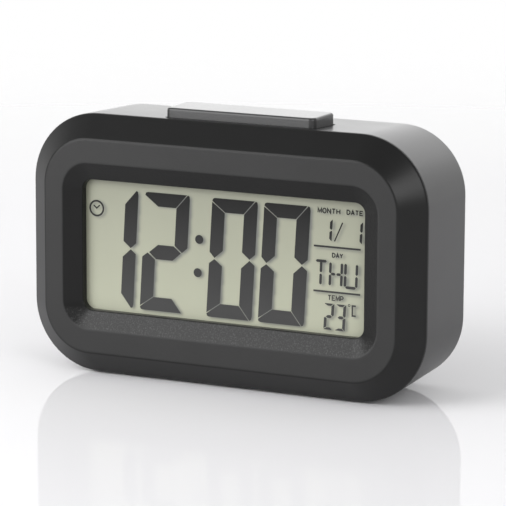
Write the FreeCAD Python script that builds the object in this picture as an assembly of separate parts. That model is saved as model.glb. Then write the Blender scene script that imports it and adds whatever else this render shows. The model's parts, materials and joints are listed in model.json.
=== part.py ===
import FreeCAD, Part
import math
import os
from FreeCAD import Vector

# Case
width = 135.0
height = 82.7
depth = 41.0
corner_radius = 22.4
wall = 2.2
draft_inset = 1.2
back_round = 2.6
back_round_steps = 4
edge_break = 0.35
seam_rim = 0.8
tongue_length = 2.5
tongue_thickness = 1.0

# Front of the bezel
chamfer_inset = 7.3
chamfer_depth = 6.6
ring_side = 6.2
ring_top = 7.6
funnel_width = 5.6
funnel_depth = 3.0
window_wall = 2.5
screen_seat = 3.0

# Clearances
fit_gap = 0.1
running_gap = 0.3
screw_gap = 0.05

# Screen stack
film_thickness = 0.2
film_border = 0.5
film_corner = 0.5
glass_thickness = 1.1
contact_ledge = 4.0
guide_thickness = 3.0
guide_border = 1.8
reflector_thickness = 0.2
frame_wall = 1.4
zebra_thickness = 2.0
zebra_inset = 6.4
lamp_size = 3.0
lamp_depth = 2.2

# Main board
board_thickness = 1.6
board_margin = 0.35
board_margin_top = 0.95
ear_margin = 2.8
ear_height = 36.0
board_boss_gap = 0.9
board_boss_z = 13.5
board_boss_radius = 2.4
chip_radius = 6.0
chip_height = 1.6
crystal_radius = 1.1
crystal_length = 6.0
capacitor_radius = 2.5
capacitor_height = 7.0
bead_radius = 1.2
bead_hang = 1.0
bead_leg_hold = 2.5
lead_foot = 0.5
chip_x = -12.0
chip_rise = 4.0
crystal_x = 4.0
crystal_rise = 8.0
capacitor_x = 20.0
capacitor_rise = -4.0
capacitor_pitch = 8.0

# Screws
screw_radius = 1.25
screw_length = 10.0
screw_head_radius = 2.6
screw_head_height = 1.7
small_screw_radius = 0.95
small_screw_length = 5.5
small_head_radius = 1.8
small_head_height = 1.2
case_screw_inset = 10.5
case_screw_rise_inset = 13.35
boss_radius = 3.0
boss_length = 14.0
tower_radius = 4.4
tower_floor = 3.0
counterbore_radius = 3.0

# Snooze bar
bar_width = 51.5
bar_depth = 15.8
bar_offset = 3.3
bar_setback = 2.0
bar_proud = 3.1
bar_radius = 2.3
bar_wall = 1.8
bar_inner_radius = 0.5
bar_travel = 0.8
bar_flange = 1.2
bar_flange_thickness = 1.2
plunger_side = 3.4

# Push switches
switch_side = 6.0
switch_height = 3.5
stem_radius = 1.6
stem_proud = 0.8
stem_depth = 1.4

# Buttons in the back
button_radius = 3.5
button_proud = 1.0
button_travel = 0.5
button_pitch = 16.5
button_row_x = -8.0
button_row_rise = 22.0
button_flange = 1.1
button_flange_thickness = 0.9
button_pusher = 0.6
button_names = ("mode", "set", "up", "down")

# Alarm slide switch
slider_inset = 9.9
slider_length = 6.0
slider_height = 4.0
slider_proud = 0.8
slider_travel = 3.0
slider_plate_length = 9.6
slider_plate_height = 7.0
slider_plate_thickness = 0.9
slider_ridge = 0.4
slider_ridge_pitch = 1.2
slider_ridge_count = 4
slider_corner = 0.8
slide_base_length = 10.4
slide_base_height = 4.6
lever_side = 1.8

# Button board
button_board_gap = 3.6
button_board_height = 12.0
button_board_boss_inset = 3.1
button_boss_radius = 2.2

# Battery bay
cell_radius = 5.25
cell_length = 44.5
cell_nub_radius = 1.9
cell_nub_length = 0.8
cell_pitch = 11.2
cell_gap = 0.3
cell_top_gap = 0.6
cell_count = 3
bay_floor_z = 9.3
bay_wall = 1.6
bay_saddle = 2.2
contact_thickness = 0.4
contact_width = 8.6
contact_dimple = 0.5
contact_tail = 2.5
contact_tail_width = 3.0
spring_room = 5.0
spring_wire = 0.6
spring_base_radius = 3.6
spring_tip_radius = 2.2
spring_turns = 2.25
spring_lead_angle = 25.0

# Battery door
door_thickness = 2.0
door_corner = 0.6
door_tab_width = 7.0
door_tab_length = 2.4
door_tab_thickness = 1.3
door_tab_x = 16.0
tongue_width = 12.0
tongue_reach = 9.0
tongue_slit = 1.0
door_rib_height = 0.5
door_rib_width = 1.0
door_rib_setback = 6.0
grip_depth = 0.8
grip_width = 0.8
grip_pitch = 1.6
grip_count = 3
grip_setback = 2.0
grip_margin = 1.5

# Buzzer, vents and feet
buzzer_gap = 4.9
buzzer_z = 30.0
buzzer_radius = 9.0
buzzer_thickness = 0.3
ceramic_radius = 6.5
ceramic_thickness = 0.2
buzzer_ring_height = 2.5
buzzer_ring_wall = 1.3
sound_slot_length = 9.0
sound_slot_width = 1.4
sound_slot_pitch = 2.8
sound_slot_count = 4
vent_x = 20.0
vent_width = 1.2
vent_length = 9.0
vent_pitch = 3.0
vent_count = 5
foot_length = 14.0
foot_width = 6.0
foot_proud = 0.5
foot_pocket = 1.0
foot_side_inset = 25.5
foot_inset = 7.5

# Leads
lead_radius = 0.6
lead_bend_share = 0.45
battery_lead_lift = 1.6
buzzer_lead_lift = 4.0
ribbon_width = 10.0
ribbon_thickness = 0.8
ribbon_drop = 4.0
ribbon_offset = 3.0
wire_flats = 6
gap_samples = 9

# Levels worked out from the sizes
front_y = -(depth + button_proud) / 2
back_y = front_y + depth
edge_y = front_y + chamfer_depth
side_end_y = back_y - back_round
seam_y = edge_y + seam_rim
inner_back_y = back_y - wall
mid_z = foot_proud + height / 2
window_width = width - 2 * (chamfer_inset + ring_side + funnel_width)
window_height = height - 2 * (chamfer_inset + ring_top + funnel_width)
window_radius = corner_radius - chamfer_inset - ring_side - funnel_width
seat_y = front_y + funnel_depth + window_wall
front_glass_y = seat_y + film_thickness
rear_glass_y = front_glass_y + glass_thickness
rear_film_y = rear_glass_y + glass_thickness
guide_y = rear_film_y + film_thickness
reflector_y = guide_y + guide_thickness
board_y = reflector_y + reflector_thickness + fit_gap
board_back_y = board_y + board_thickness
glass_width = window_width + 2 * screen_seat
rear_glass_height = window_height + 2 * screen_seat
glass_bottom_z = mid_z - rear_glass_height / 2 - contact_ledge
zebra_length = glass_width - 2 * zebra_inset
board_side = glass_width + 2 * board_margin
board_rise = rear_glass_height + 2 * contact_ledge + 2 * board_margin_top
board_boss_x = glass_width / 2 + fit_gap + frame_wall + board_boss_gap + board_boss_radius
ear_reach = board_boss_x + ear_margin
case_screw_x = width / 2 - case_screw_inset
case_screw_z = height / 2 - case_screw_rise_inset
boss_end_y = front_y + wall + boss_length
head_seat_y = boss_end_y + tower_floor
bar_front_y = edge_y + bar_setback
bar_mid_y = bar_front_y + bar_depth / 2
bar_top_z = foot_proud + height + bar_proud
board_top_z = mid_z + board_rise / 2
button_z = mid_z + button_row_rise
flange_y = inner_back_y - running_gap - button_flange_thickness
stem_top_y = flange_y - button_pusher
switch_top_y = stem_top_y - stem_proud
button_board_back_y = switch_top_y - switch_height
button_board_y = button_board_back_y - board_thickness
button_board_length = 2 * (case_screw_x - tower_radius - button_board_gap)
button_board_boss_x = button_board_length / 2 - button_board_boss_inset
slider_x = button_board_boss_x - slider_inset
bay_length = cell_length + 2 * contact_thickness + contact_dimple + spring_room
bay_height = cell_pitch * cell_count + cell_gap
bay_mid_z = bay_floor_z + bay_height / 2
buzzer_x = -(bay_length / 2 + bay_wall + buzzer_gap + fit_gap + buzzer_radius)
door_inner_y = back_y - door_thickness
cell_y = door_inner_y - cell_top_gap - door_rib_height - cell_radius
bay_saddle_y = cell_y - bay_saddle
bay_bottom_y = cell_y - cell_radius - cell_gap - bay_wall
door_length = bay_length + 2 * bay_wall - 2 * running_gap
door_height = bay_height + 2 * bay_wall - 2 * running_gap
foot_x = width / 2 - foot_side_inset

ACROSS = Vector(1, 0, 0)
INWARD = Vector(0, 1, 0)
UP = Vector(0, 0, 1)


def draft_at(y):
    """How far the side wall has drawn in at depth y."""
    return draft_inset * max(0.0, y - edge_y) / (side_end_y - edge_y)


def top_surface_z(y):
    """Height of the case's top wall outside at depth y."""
    return mid_z + height / 2 - draft_at(y)


def bottom_surface_z(y):
    """Height of the case's floor outside at depth y."""
    return mid_z - height / 2 + draft_at(y)


def rounded_wire(w, h, r, centre, across=ACROSS, up=UP):
    """Closed wire of a rounded rectangle in the plane of across and up."""
    side = w / 2 - r
    rise = h / 2 - r

    def corner_point(quarter, turn):
        x = side if quarter in (0, 3) else -side
        z = rise if quarter in (0, 1) else -rise
        angle = math.radians(90 * quarter + turn)
        x += r * math.cos(angle)
        z += r * math.sin(angle)
        return centre + across * x + up * z

    edges = []
    for quarter in range(4):
        start = corner_point(quarter, 0)
        middle = corner_point(quarter, 45)
        end = corner_point(quarter, 90)
        edges.append(Part.Arc(start, middle, end).toShape())
        edges.append(Part.makeLine(end, corner_point((quarter + 1) % 4, 0)))
    return Part.Wire(edges)


def upright(w, h, r, y0, y1, x=0.0, z=None):
    """Rounded block standing across the case, from depth y0 to depth y1."""
    level = mid_z if z is None else z
    wire = rounded_wire(w, h, r, Vector(x, y0, level))
    return Part.Face(wire).extrude(INWARD * (y1 - y0))


def level_block(w, d, r, x, y, z0, z1):
    """Rounded block lying level, from height z0 to height z1."""
    wire = rounded_wire(w, d, r, Vector(x, y, z0), ACROSS, INWARD)
    return Part.Face(wire).extrude(UP * (z1 - z0))


def box(x0, x1, y0, y1, z0, z1):
    """Plain block between two corners."""
    return Part.makeBox(x1 - x0, y1 - y0, z1 - z0, Vector(x0, y0, z0))


def rod(r, x, z, y0, y1):
    """Round rod along the depth of the case."""
    return Part.makeCylinder(r, y1 - y0, Vector(x, y0, z), INWARD)


def post(r, x, y, z0, z1):
    """Round upright post."""
    return Part.makeCylinder(r, z1 - z0, Vector(x, y, z0), UP)


def bar_x(r, y, z, x0, x1):
    """Round rod along the width of the case."""
    return Part.makeCylinder(r, x1 - x0, Vector(x0, y, z), ACROSS)


def skin(wires):
    """Solid with straight flanks through a row of like outlines."""
    return Part.makeLoft(wires, True, True)


def join(first, others):
    """One solid out of a body and what is moulded on it."""
    return first.multiFuse(others).removeSplitter()


def case_outline(inset, y):
    """Outline of the drafted case at depth y, drawn in by inset."""
    off = inset + draft_at(y)
    return rounded_wire(width - 2 * off, height - 2 * off, corner_radius - off, Vector(0, y, mid_z))


def ring_outline(y):
    """Inner edge of the flat ring, where the funnel starts."""
    w = window_width + 2 * funnel_width
    h = window_height + 2 * funnel_width
    return rounded_wire(w, h, window_radius + funnel_width, Vector(0, y, mid_z))


def window_outline(grow, y):
    """Outline of the window, grown by the given amount."""
    w = window_width + 2 * grow
    h = window_height + 2 * grow
    return rounded_wire(w, h, window_radius + grow, Vector(0, y, mid_z))


def four_corners(x, z):
    """The four places at plus and minus x and z about the middle of the case."""
    return [(sx * x, mid_z + sz * z) for sx in (-1, 1) for sz in (-1, 1)]


def bezel_envelope():
    """Outer form of the bezel: ring, chamfer and rim, with broken edges."""
    slope = chamfer_inset / chamfer_depth
    wires = [
        case_outline(chamfer_inset + edge_break, front_y),
        case_outline(chamfer_inset - slope * edge_break, front_y + edge_break),
        case_outline(slope * edge_break, edge_y - edge_break),
        case_outline(0.0, edge_y + edge_break),
        case_outline(0.0, seam_y),
    ]
    return skin(wires)


def bezel_cavity():
    """Hollow behind chamfer and ring, drawn in by the wall."""
    run = math.hypot(chamfer_inset, chamfer_depth)
    shift = wall * run / chamfer_depth
    front_inset = chamfer_inset * (1 - wall / chamfer_depth) + shift
    turn_y = edge_y + (shift - wall) * chamfer_depth / chamfer_inset
    wires = [
        case_outline(front_inset, front_y + wall),
        case_outline(wall, turn_y),
        case_outline(wall, seam_y + tongue_length),
    ]
    plug = skin([ring_outline(front_y + wall), window_outline(screen_seat, seat_y)])
    return skin(wires).cut(plug)


def bar_opening(gap, z0, z1):
    """Column through the top wall that the snooze bar moves in."""
    w = bar_width + 2 * gap
    d = bar_depth + 2 * gap
    return level_block(w, d, bar_radius + gap, bar_offset, bar_mid_y, z0, z1)


def front_bezel():
    """Front frame: chamfer, ring, funnel, window wall, tongue and bosses."""
    envelope = bezel_envelope()
    tongue_end = seam_y + tongue_length
    tongue_inset = wall - tongue_thickness
    tongue = skin([case_outline(tongue_inset, edge_y), case_outline(tongue_inset, tongue_end)])
    body = envelope.fuse(tongue)
    body = body.cut(bezel_cavity())
    reach = skin([case_outline(tongue_inset, edge_y), case_outline(tongue_inset, boss_end_y)])
    inside = envelope.fuse(reach)
    bosses = []
    for x, z in four_corners(case_screw_x, case_screw_z):
        bosses.append(rod(boss_radius, x, z, front_y + wall / 2, boss_end_y).common(inside))
    for x, z in four_corners(board_boss_x, board_boss_z):
        bosses.append(rod(board_boss_radius, x, z, front_y + wall / 2, board_y))
    body = join(body, bosses)
    cuts = [skin([ring_outline(front_y), window_outline(0.0, front_y + funnel_depth)])]
    cuts.append(skin([window_outline(0.0, front_y + funnel_depth), window_outline(0.0, seat_y)]))
    for x, z in four_corners(case_screw_x, case_screw_z):
        tip_y = head_seat_y - screw_length - running_gap
        cuts.append(rod(screw_radius + screw_gap, x, z, tip_y, boss_end_y))
    for x, z in four_corners(board_boss_x, board_boss_z):
        tip_y = board_back_y - small_screw_length - running_gap
        cuts.append(rod(small_screw_radius + screw_gap, x, z, tip_y, board_y))
    notch_half = bar_width / 2 + bar_flange + 2 * running_gap
    notch_z = top_surface_z(seam_y) - wall - running_gap
    low_x = bar_offset - notch_half
    high_x = bar_offset + notch_half
    cuts.append(box(low_x, high_x, seam_y, tongue_end, notch_z, bar_top_z))
    return body.cut(cuts)


def case_envelope():
    """Outer form of the rear case: drafted sides rolling into the flat back."""
    wires = [case_outline(0.0, seam_y), case_outline(0.0, side_end_y)]
    for step in range(1, back_round_steps + 1):
        angle = math.radians(90 * step / back_round_steps)
        off = draft_inset + back_round * (1 - math.cos(angle))
        y = side_end_y + back_round * math.sin(angle)
        w = width - 2 * off
        h = height - 2 * off
        wires.append(rounded_wire(w, h, corner_radius - off, Vector(0, y, mid_z)))
    return skin(wires)


def case_cavity():
    """Hollow of the rear case, with the rebate for the bezel's tongue."""
    rebate = wall - tongue_thickness - fit_gap
    rebate_end = seam_y + tongue_length + running_gap
    hollow = skin([case_outline(wall, seam_y), case_outline(wall, side_end_y)])
    tail = upright(
        width - 2 * (wall + draft_inset),
        height - 2 * (wall + draft_inset),
        corner_radius - wall - draft_inset,
        side_end_y,
        inner_back_y,
    )
    mouth = skin([case_outline(rebate, seam_y), case_outline(rebate, rebate_end)])
    return hollow.multiFuse([tail, mouth])


def cell_levels():
    """Heights of the three cells' middles, from below."""
    first = bay_mid_z - cell_pitch * (cell_count - 1) / 2
    return [first + cell_pitch * index for index in range(cell_count)]


def bay_body():
    """Outside of the battery bay: one saddle round each cell."""
    half = bay_length / 2 + bay_wall
    low = bay_floor_z - bay_wall
    high = bay_floor_z + bay_height + bay_wall
    parts = []
    for z in cell_levels():
        parts.append(bar_x(cell_radius + cell_gap + bay_wall, cell_y, z, -half, half))
    shell = box(-half, half, bay_saddle_y - bay_wall, inner_back_y, low, high)
    limit = box(-half, half, front_y, back_y, low, high)
    return shell.multiFuse(parts).common(limit)


def bay_room():
    """Inside of the battery bay, open to the back."""
    half = bay_length / 2
    low = bay_floor_z
    high = bay_floor_z + bay_height
    parts = []
    for z in cell_levels():
        parts.append(bar_x(cell_radius + cell_gap, cell_y, z, -half, half))
    room = box(-half, half, bay_saddle_y, back_y, low, high)
    return room.multiFuse(parts)


def door_recess():
    """Opening in the back wall that takes the battery door."""
    half = bay_length / 2 + bay_wall
    low = bay_floor_z - bay_wall
    high = bay_floor_z + bay_height + bay_wall
    return box(-half, half, door_inner_y, back_y, low, high)


def tab_places():
    """Middles of the door's two tabs across the case."""
    return (-door_tab_x, door_tab_x)


def rear_case():
    """Rear tub: towers, battery bay, switch slot, button holes, vents and foot pockets."""
    envelope = case_envelope()
    hollow = case_cavity()
    adds = [bay_body()]
    for x, z in four_corners(case_screw_x, case_screw_z):
        adds.append(rod(tower_radius, x, z, boss_end_y, inner_back_y + wall / 2))
    for side in (-1, 1):
        place = side * button_board_boss_x
        adds.append(rod(button_boss_radius, place, button_z, button_board_back_y, inner_back_y))
    ring_y = inner_back_y - buzzer_ring_height
    ring = rod(buzzer_radius + fit_gap, buzzer_x, buzzer_z, ring_y, inner_back_y)
    adds.append(ring.cut(rod(buzzer_radius - buzzer_ring_wall, buzzer_x, buzzer_z, ring_y, inner_back_y)))
    body = join(envelope.cut(hollow), [piece.common(envelope) for piece in adds])
    cuts = [bay_room(), door_recess()]
    for x in tab_places():
        low = bay_floor_z - bay_wall - door_tab_length - running_gap
        inner = door_inner_y - door_tab_thickness - door_tab_length
        half = door_tab_width / 2 + running_gap
        cuts.append(box(x - half, x + half, inner, door_inner_y, low, bay_floor_z))
    for side, z in tail_places():
        face = side * (bay_length / 2 - contact_thickness - fit_gap)
        end = side * bay_length / 2
        rise = contact_tail_width / 2 + fit_gap
        cuts.append(box(min(face, end), max(face, end), bay_bottom_y, bay_saddle_y, z - rise, z + rise))
    for x, z in four_corners(case_screw_x, case_screw_z):
        cuts.append(rod(counterbore_radius, x, z, head_seat_y, back_y))
        cuts.append(rod(screw_radius + fit_gap, x, z, boss_end_y, head_seat_y))
    for side in (-1, 1):
        tip_y = button_board_y + small_screw_length + running_gap
        place = side * button_board_boss_x
        cuts.append(rod(small_screw_radius + screw_gap, place, button_z, button_board_back_y, tip_y))
    for x in button_places():
        cuts.append(rod(button_radius + running_gap, x, button_z, inner_back_y, back_y))
    half = (slider_length + slider_travel) / 2 + running_gap
    rise = slider_height / 2 + running_gap
    cuts.append(box(slider_x - half, slider_x + half, inner_back_y, back_y, button_z - rise, button_z + rise))
    for index in range(sound_slot_count):
        z = buzzer_z + sound_slot_pitch * (index - (sound_slot_count - 1) / 2)
        half = sound_slot_length / 2
        rise = sound_slot_width / 2
        cuts.append(box(buzzer_x - half, buzzer_x + half, inner_back_y, back_y, z - rise, z + rise))
    for index in range(vent_count):
        x = vent_x + vent_pitch * (index - (vent_count - 1) / 2)
        half = vent_width / 2
        top = foot_proud + 2 * wall
        cuts.append(box(x - half, x + half, board_back_y, board_back_y + vent_length, 0.0, top))
    for x, y in foot_places():
        cuts.append(foot_block(x, y, fit_gap))
    cuts.append(bar_opening(running_gap, top_surface_z(back_y) - 2 * wall, bar_top_z))
    return body.cut(cuts)


def button_places():
    """Middles of the four buttons across the case."""
    count = len(button_names)
    return [button_row_x + button_pitch * (index - (count - 1) / 2) for index in range(count)]


def foot_places():
    """Middles of the four feet on the floor."""
    front = seam_y + foot_inset
    back = side_end_y - foot_inset
    return [(sx * foot_x, y) for sx in (-1, 1) for y in (front, back)]


def polariser_films():
    """Front and rear film on the screen."""
    w = window_width + 2 * (screen_seat - film_border)
    h = window_height + 2 * (screen_seat - film_border)
    front = upright(w, h, film_corner, seat_y, front_glass_y)
    rear_w = window_width + 2 * guide_border
    rear_h = window_height + 2 * guide_border
    rear = upright(rear_w, rear_h, film_corner, rear_film_y, guide_y)
    return Part.Compound([front, rear])


def lcd_front_glass():
    """Front glass, longer below for its contact ledge."""
    half = glass_width / 2
    top = mid_z + rear_glass_height / 2
    return box(-half, half, front_glass_y, rear_glass_y, glass_bottom_z, top)


def lcd_rear_glass():
    """Rear glass behind the front one."""
    half = glass_width / 2
    rise = rear_glass_height / 2
    return box(-half, half, rear_glass_y, rear_film_y, mid_z - rise, mid_z + rise)


def lcd_frame():
    """Frame that presses glass and light guide against the bezel."""
    half = glass_width / 2 + fit_gap
    low = glass_bottom_z - fit_gap
    high = mid_z + rear_glass_height / 2 + fit_gap
    outer = box(
        -half - frame_wall, half + frame_wall, front_glass_y, board_y, low - frame_wall, high + frame_wall
    )
    pocket = box(-half, half, front_glass_y, rear_film_y, low, high)
    guide_half = window_width / 2 + guide_border + fit_gap
    guide_rise = window_height / 2 + guide_border + fit_gap
    opening = box(-guide_half, guide_half, rear_film_y, board_y, mid_z - guide_rise, mid_z + guide_rise)
    slot_half = zebra_length / 2 + fit_gap
    slot_low = glass_bottom_z + contact_ledge / 2 - zebra_thickness / 2 - fit_gap
    slot_high = slot_low + zebra_thickness + 2 * fit_gap
    slot = box(-slot_half, slot_half, rear_film_y, board_y, slot_low, slot_high)
    rest_high = mid_z - rear_glass_height / 2 - fit_gap
    rest = box(-half, half, rear_glass_y, rear_film_y, low, rest_high)
    rest = rest.cut(box(-slot_half, slot_half, rear_glass_y, rear_film_y, slot_low, slot_high))
    return outer.cut([pocket, opening, slot]).fuse(rest).removeSplitter()


def lamp_places():
    """Middles of the two backlight lamps across the case."""
    place = window_width / 2 + guide_border - lamp_depth / 2
    return (-place, place)


def lamp_rooms(y0, y1):
    """Notches that leave room for the lamps between two depths."""
    room = lamp_size / 2 + fit_gap
    reach = lamp_depth / 2 + fit_gap
    return [box(x - reach, x + reach, y0, y1, mid_z - room, mid_z + room) for x in lamp_places()]


def light_guide():
    """Clear plate behind the screen, notched for a lamp at each end."""
    half = window_width / 2 + guide_border
    rise = window_height / 2 + guide_border
    plate = box(-half, half, guide_y, reflector_y, mid_z - rise, mid_z + rise)
    return plate.cut(lamp_rooms(guide_y, reflector_y))


def reflector_sheet():
    """White sheet behind the light guide."""
    half = window_width / 2 + guide_border
    rise = window_height / 2 + guide_border
    sheet = box(-half, half, reflector_y, reflector_y + reflector_thickness, mid_z - rise, mid_z + rise)
    return sheet.cut(lamp_rooms(reflector_y, board_y))


def backlight_lamps():
    """Two lamps standing on the board in the guide's notches."""
    lamps = []
    half = lamp_depth / 2
    rise = lamp_size / 2
    for x in lamp_places():
        lamps.append(box(x - half, x + half, board_y - lamp_size, board_y, mid_z - rise, mid_z + rise))
    return Part.Compound(lamps)


def zebra_strip():
    """Rubber contact strip from the glass ledge to the board."""
    low = glass_bottom_z + contact_ledge / 2 - zebra_thickness / 2
    half = zebra_length / 2
    return box(-half, half, rear_glass_y, board_y, low, low + zebra_thickness)


def main_board():
    """Main board with an ear at each side for its screws."""
    half = board_side / 2
    plate = box(-half, half, board_y, board_back_y, mid_z - board_rise / 2, board_top_z)
    rise = ear_height / 2
    ears = box(-ear_reach, ear_reach, board_y, board_back_y, mid_z - rise, mid_z + rise)
    board = plate.fuse(ears).removeSplitter()
    places = four_corners(board_boss_x, board_boss_z)
    return board.cut([rod(small_screw_radius + fit_gap, x, z, board_y, board_back_y) for x, z in places])


def small_screw(x, z, seat, way):
    """Small round-headed screw; way is plus one where it points to the back."""
    low = min(seat, seat + way * small_screw_length)
    shank = rod(small_screw_radius, x, z, low, low + small_screw_length)
    head_low = min(seat, seat - way * small_head_height)
    head = rod(small_head_radius, x, z, head_low, head_low + small_head_height)
    return shank.fuse(head).removeSplitter()


def board_screws():
    """Four screws through the main board's ears into the bezel."""
    places = four_corners(board_boss_x, board_boss_z)
    return Part.Compound([small_screw(x, z, board_back_y, -1) for x, z in places])


def clock_chip():
    """Drop of resin over the chip, a shallow dome on the board."""
    ball_radius = (chip_radius ** 2 + chip_height ** 2) / (2 * chip_height)
    centre = Vector(chip_x, board_back_y + chip_height - ball_radius, mid_z + chip_rise)
    ball = Part.makeSphere(ball_radius, centre)
    slab = rod(2 * chip_radius, centre.x, centre.z, board_back_y, board_back_y + 2 * chip_height)
    return ball.common(slab)


def crystal():
    """Small metal can lying beside the chip on its two feet."""
    z = mid_z + crystal_rise
    y = board_back_y + crystal_radius + lead_foot
    can = post(crystal_radius, crystal_x, y, z, z + crystal_length)
    feet = []
    for side in (-1, 1):
        place = crystal_x + side * lead_foot
        half = lead_foot / 2
        feet.append(box(place - half, place + half, board_back_y, y, z + half, z + 3 * half))
    return join(can, feet)


def capacitors():
    """Two round cans standing on the main board."""
    cans = []
    for side in (-1, 1):
        x = capacitor_x + side * capacitor_pitch / 2
        z = mid_z + capacitor_rise
        cans.append(rod(capacitor_radius, x, z, board_back_y, board_back_y + capacitor_height))
    return Part.Compound(cans)


def thermistor():
    """Round bead on two legs, hanging below the main board over the vents."""
    foot_z = mid_z - board_rise / 2
    y = board_back_y + lead_foot / 2
    bead_z = foot_z - bead_radius - bead_hang
    bead = bar_x(bead_radius, y, bead_z, vent_x - bead_radius, vent_x + bead_radius)
    legs = []
    for side in (-1, 1):
        x = vent_x + side * bead_radius / 2
        half = lead_foot / 2
        top = foot_z + bead_leg_hold
        legs.append(box(x - half, x + half, board_back_y, board_back_y + lead_foot, bead_z, top))
    return join(bead, legs)


def snooze_switch():
    """Housing of the snooze switch at the main board's top edge."""
    side = switch_side / 2
    x = bar_offset
    low = board_top_z - switch_height
    housing = box(x - side, x + side, board_back_y, board_back_y + switch_side, low, board_top_z)
    y = board_back_y + side
    bore = stem_depth + bar_travel + running_gap
    return housing.cut(post(stem_radius + running_gap, x, y, board_top_z - bore, board_top_z))


def snooze_stem():
    """Stem of the snooze switch, which goes down with the bar."""
    y = board_back_y + switch_side / 2
    return post(stem_radius, bar_offset, y, board_top_z - stem_depth, board_top_z + stem_proud + bar_travel)


def snooze_bar():
    """Hollow bar with end flanges under the top wall and a plunger to its switch."""
    rim_z = top_surface_z(bar_front_y + bar_depth) - wall - running_gap
    foot_z = rim_z - bar_flange_thickness
    slope = edge_break
    crown_z = bar_top_z - slope
    column = bar_opening(0.0, foot_z, crown_z)
    crown_wires = []
    for drop, inset in ((slope, 0.0), (0.0, slope)):
        w = bar_width - 2 * inset
        d = bar_depth - 2 * inset
        centre = Vector(bar_offset, bar_mid_y, bar_top_z - drop)
        crown_wires.append(rounded_wire(w, d, bar_radius - inset, centre, ACROSS, INWARD))
    crown = skin(crown_wires)
    hollow_w = bar_width - 2 * bar_wall
    hollow_d = bar_depth - 2 * bar_wall
    roof = bar_top_z - bar_wall
    hollow = level_block(hollow_w, hollow_d, bar_inner_radius, bar_offset, bar_mid_y, foot_z, roof)
    shell = column.fuse(crown).cut(hollow)
    adds = []
    for side in (-1, 1):
        inner = bar_offset + side * (bar_width / 2 - bar_wall)
        outer = bar_offset + side * (bar_width / 2 + bar_flange)
        y0 = bar_mid_y - bar_depth / 2 + bar_radius
        y1 = bar_mid_y + bar_depth / 2 - bar_radius
        adds.append(box(min(inner, outer), max(inner, outer), y0, y1, foot_z, rim_z))
    rib = bar_wall / 2
    y_switch = board_back_y + switch_side / 2
    half = plunger_side / 2
    stem_top = board_top_z + stem_proud + bar_travel
    adds.append(box(bar_offset - half, bar_offset + half, y_switch - rib, y_switch + rib, stem_top, roof))
    adds.append(box(bar_offset - rib, bar_offset + rib, y_switch - half, y_switch + half, stem_top, roof))
    for side in (-1, 1):
        place = bar_offset + side * bar_width / 4
        y0 = bar_front_y + bar_wall / 2
        y1 = bar_front_y + bar_depth - bar_wall / 2
        adds.append(box(place - rib / 2, place + rib / 2, y0, y1, rim_z, roof))
    return join(shell, adds)


def button_board():
    """Narrow board behind the back wall that carries the switches."""
    half = button_board_length / 2
    rise = button_board_height / 2
    plate = box(-half, half, button_board_y, button_board_back_y, button_z - rise, button_z + rise)
    holes = []
    for side in (-1, 1):
        place = side * button_board_boss_x
        holes.append(rod(small_screw_radius + fit_gap, place, button_z, button_board_y, button_board_back_y))
    return plate.cut(holes)


def button_board_screws():
    """Two screws through the button board into the rear case."""
    places = (-button_board_boss_x, button_board_boss_x)
    return Part.Compound([small_screw(x, button_z, button_board_y, 1) for x in places])


def button_switches():
    """Housings of the four push switches."""
    housings = []
    bore = stem_depth + button_travel + running_gap
    for x in button_places():
        half = switch_side / 2
        block = box(x - half, x + half, button_board_back_y, switch_top_y, button_z - half, button_z + half)
        well = rod(stem_radius + running_gap, x, button_z, switch_top_y - bore, switch_top_y)
        housings.append(block.cut(well))
    return Part.Compound(housings)


def switch_stem(x):
    """Stem of one push switch, which goes in with its button."""
    return rod(stem_radius, x, button_z, switch_top_y - stem_depth, stem_top_y)


def button(x):
    """One button: cap with a broken edge, flange behind the wall and pusher on the stem."""
    cap_end = back_y + button_proud
    crown_y = cap_end - edge_break
    cap = rod(button_radius, x, button_z, flange_y, crown_y)
    crown = Part.makeCone(
        button_radius, button_radius - edge_break, edge_break, Vector(x, crown_y, button_z), INWARD
    )
    half = button_radius + button_flange
    flange_end = flange_y + button_flange_thickness
    flange = box(x - half, x + half, flange_y, flange_end, button_z - half, button_z + half)
    tip = stem_radius
    pusher = box(x - tip, x + tip, stem_top_y, flange_y, button_z - tip, button_z + tip)
    return join(cap, [crown, flange, pusher])


def alarm_switch_base():
    """Base of the slide switch on the button board."""
    half = slide_base_length / 2
    low = button_z - slide_base_height / 2
    high = button_z + slide_base_height / 2
    block = box(slider_x - half, slider_x + half, button_board_back_y, switch_top_y, low, high)
    reach = (lever_side + slider_travel) / 2 + running_gap
    gap = lever_side / 2 + running_gap
    floor_y = switch_top_y - stem_depth - running_gap
    room = box(slider_x - reach, slider_x + reach, floor_y, switch_top_y, button_z - gap, button_z + gap)
    return block.cut(room)


def alarm_switch_lever():
    """Lever of the slide switch, carried along by the cap."""
    x = slider_x - slider_travel / 2
    half = lever_side / 2
    return box(x - half, x + half, switch_top_y - stem_depth, flange_y, button_z - half, button_z + half)


def alarm_switch_cap():
    """Thumb piece in the back wall's slot, with ridges and a plate behind the wall."""
    x = slider_x - slider_travel / 2
    plate_end = flange_y + slider_plate_thickness
    half = slider_plate_length / 2
    rise = slider_plate_height / 2
    plate = box(x - half, x + half, flange_y, plate_end, button_z - rise, button_z + rise)
    thumb_end = back_y + slider_proud - slider_ridge
    thumb = upright(slider_length, slider_height, slider_corner, flange_y, thumb_end, x, button_z)
    ridges = []
    for index in range(slider_ridge_count):
        place = x + slider_ridge_pitch * (index - (slider_ridge_count - 1) / 2)
        thick = slider_ridge_pitch / 4
        tall = slider_height / 2 - slider_corner
        low = button_z - tall
        ridges.append(box(place - thick, place + thick, back_y, back_y + slider_proud, low, button_z + tall))
    return join(plate, [thumb] + ridges)


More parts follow.
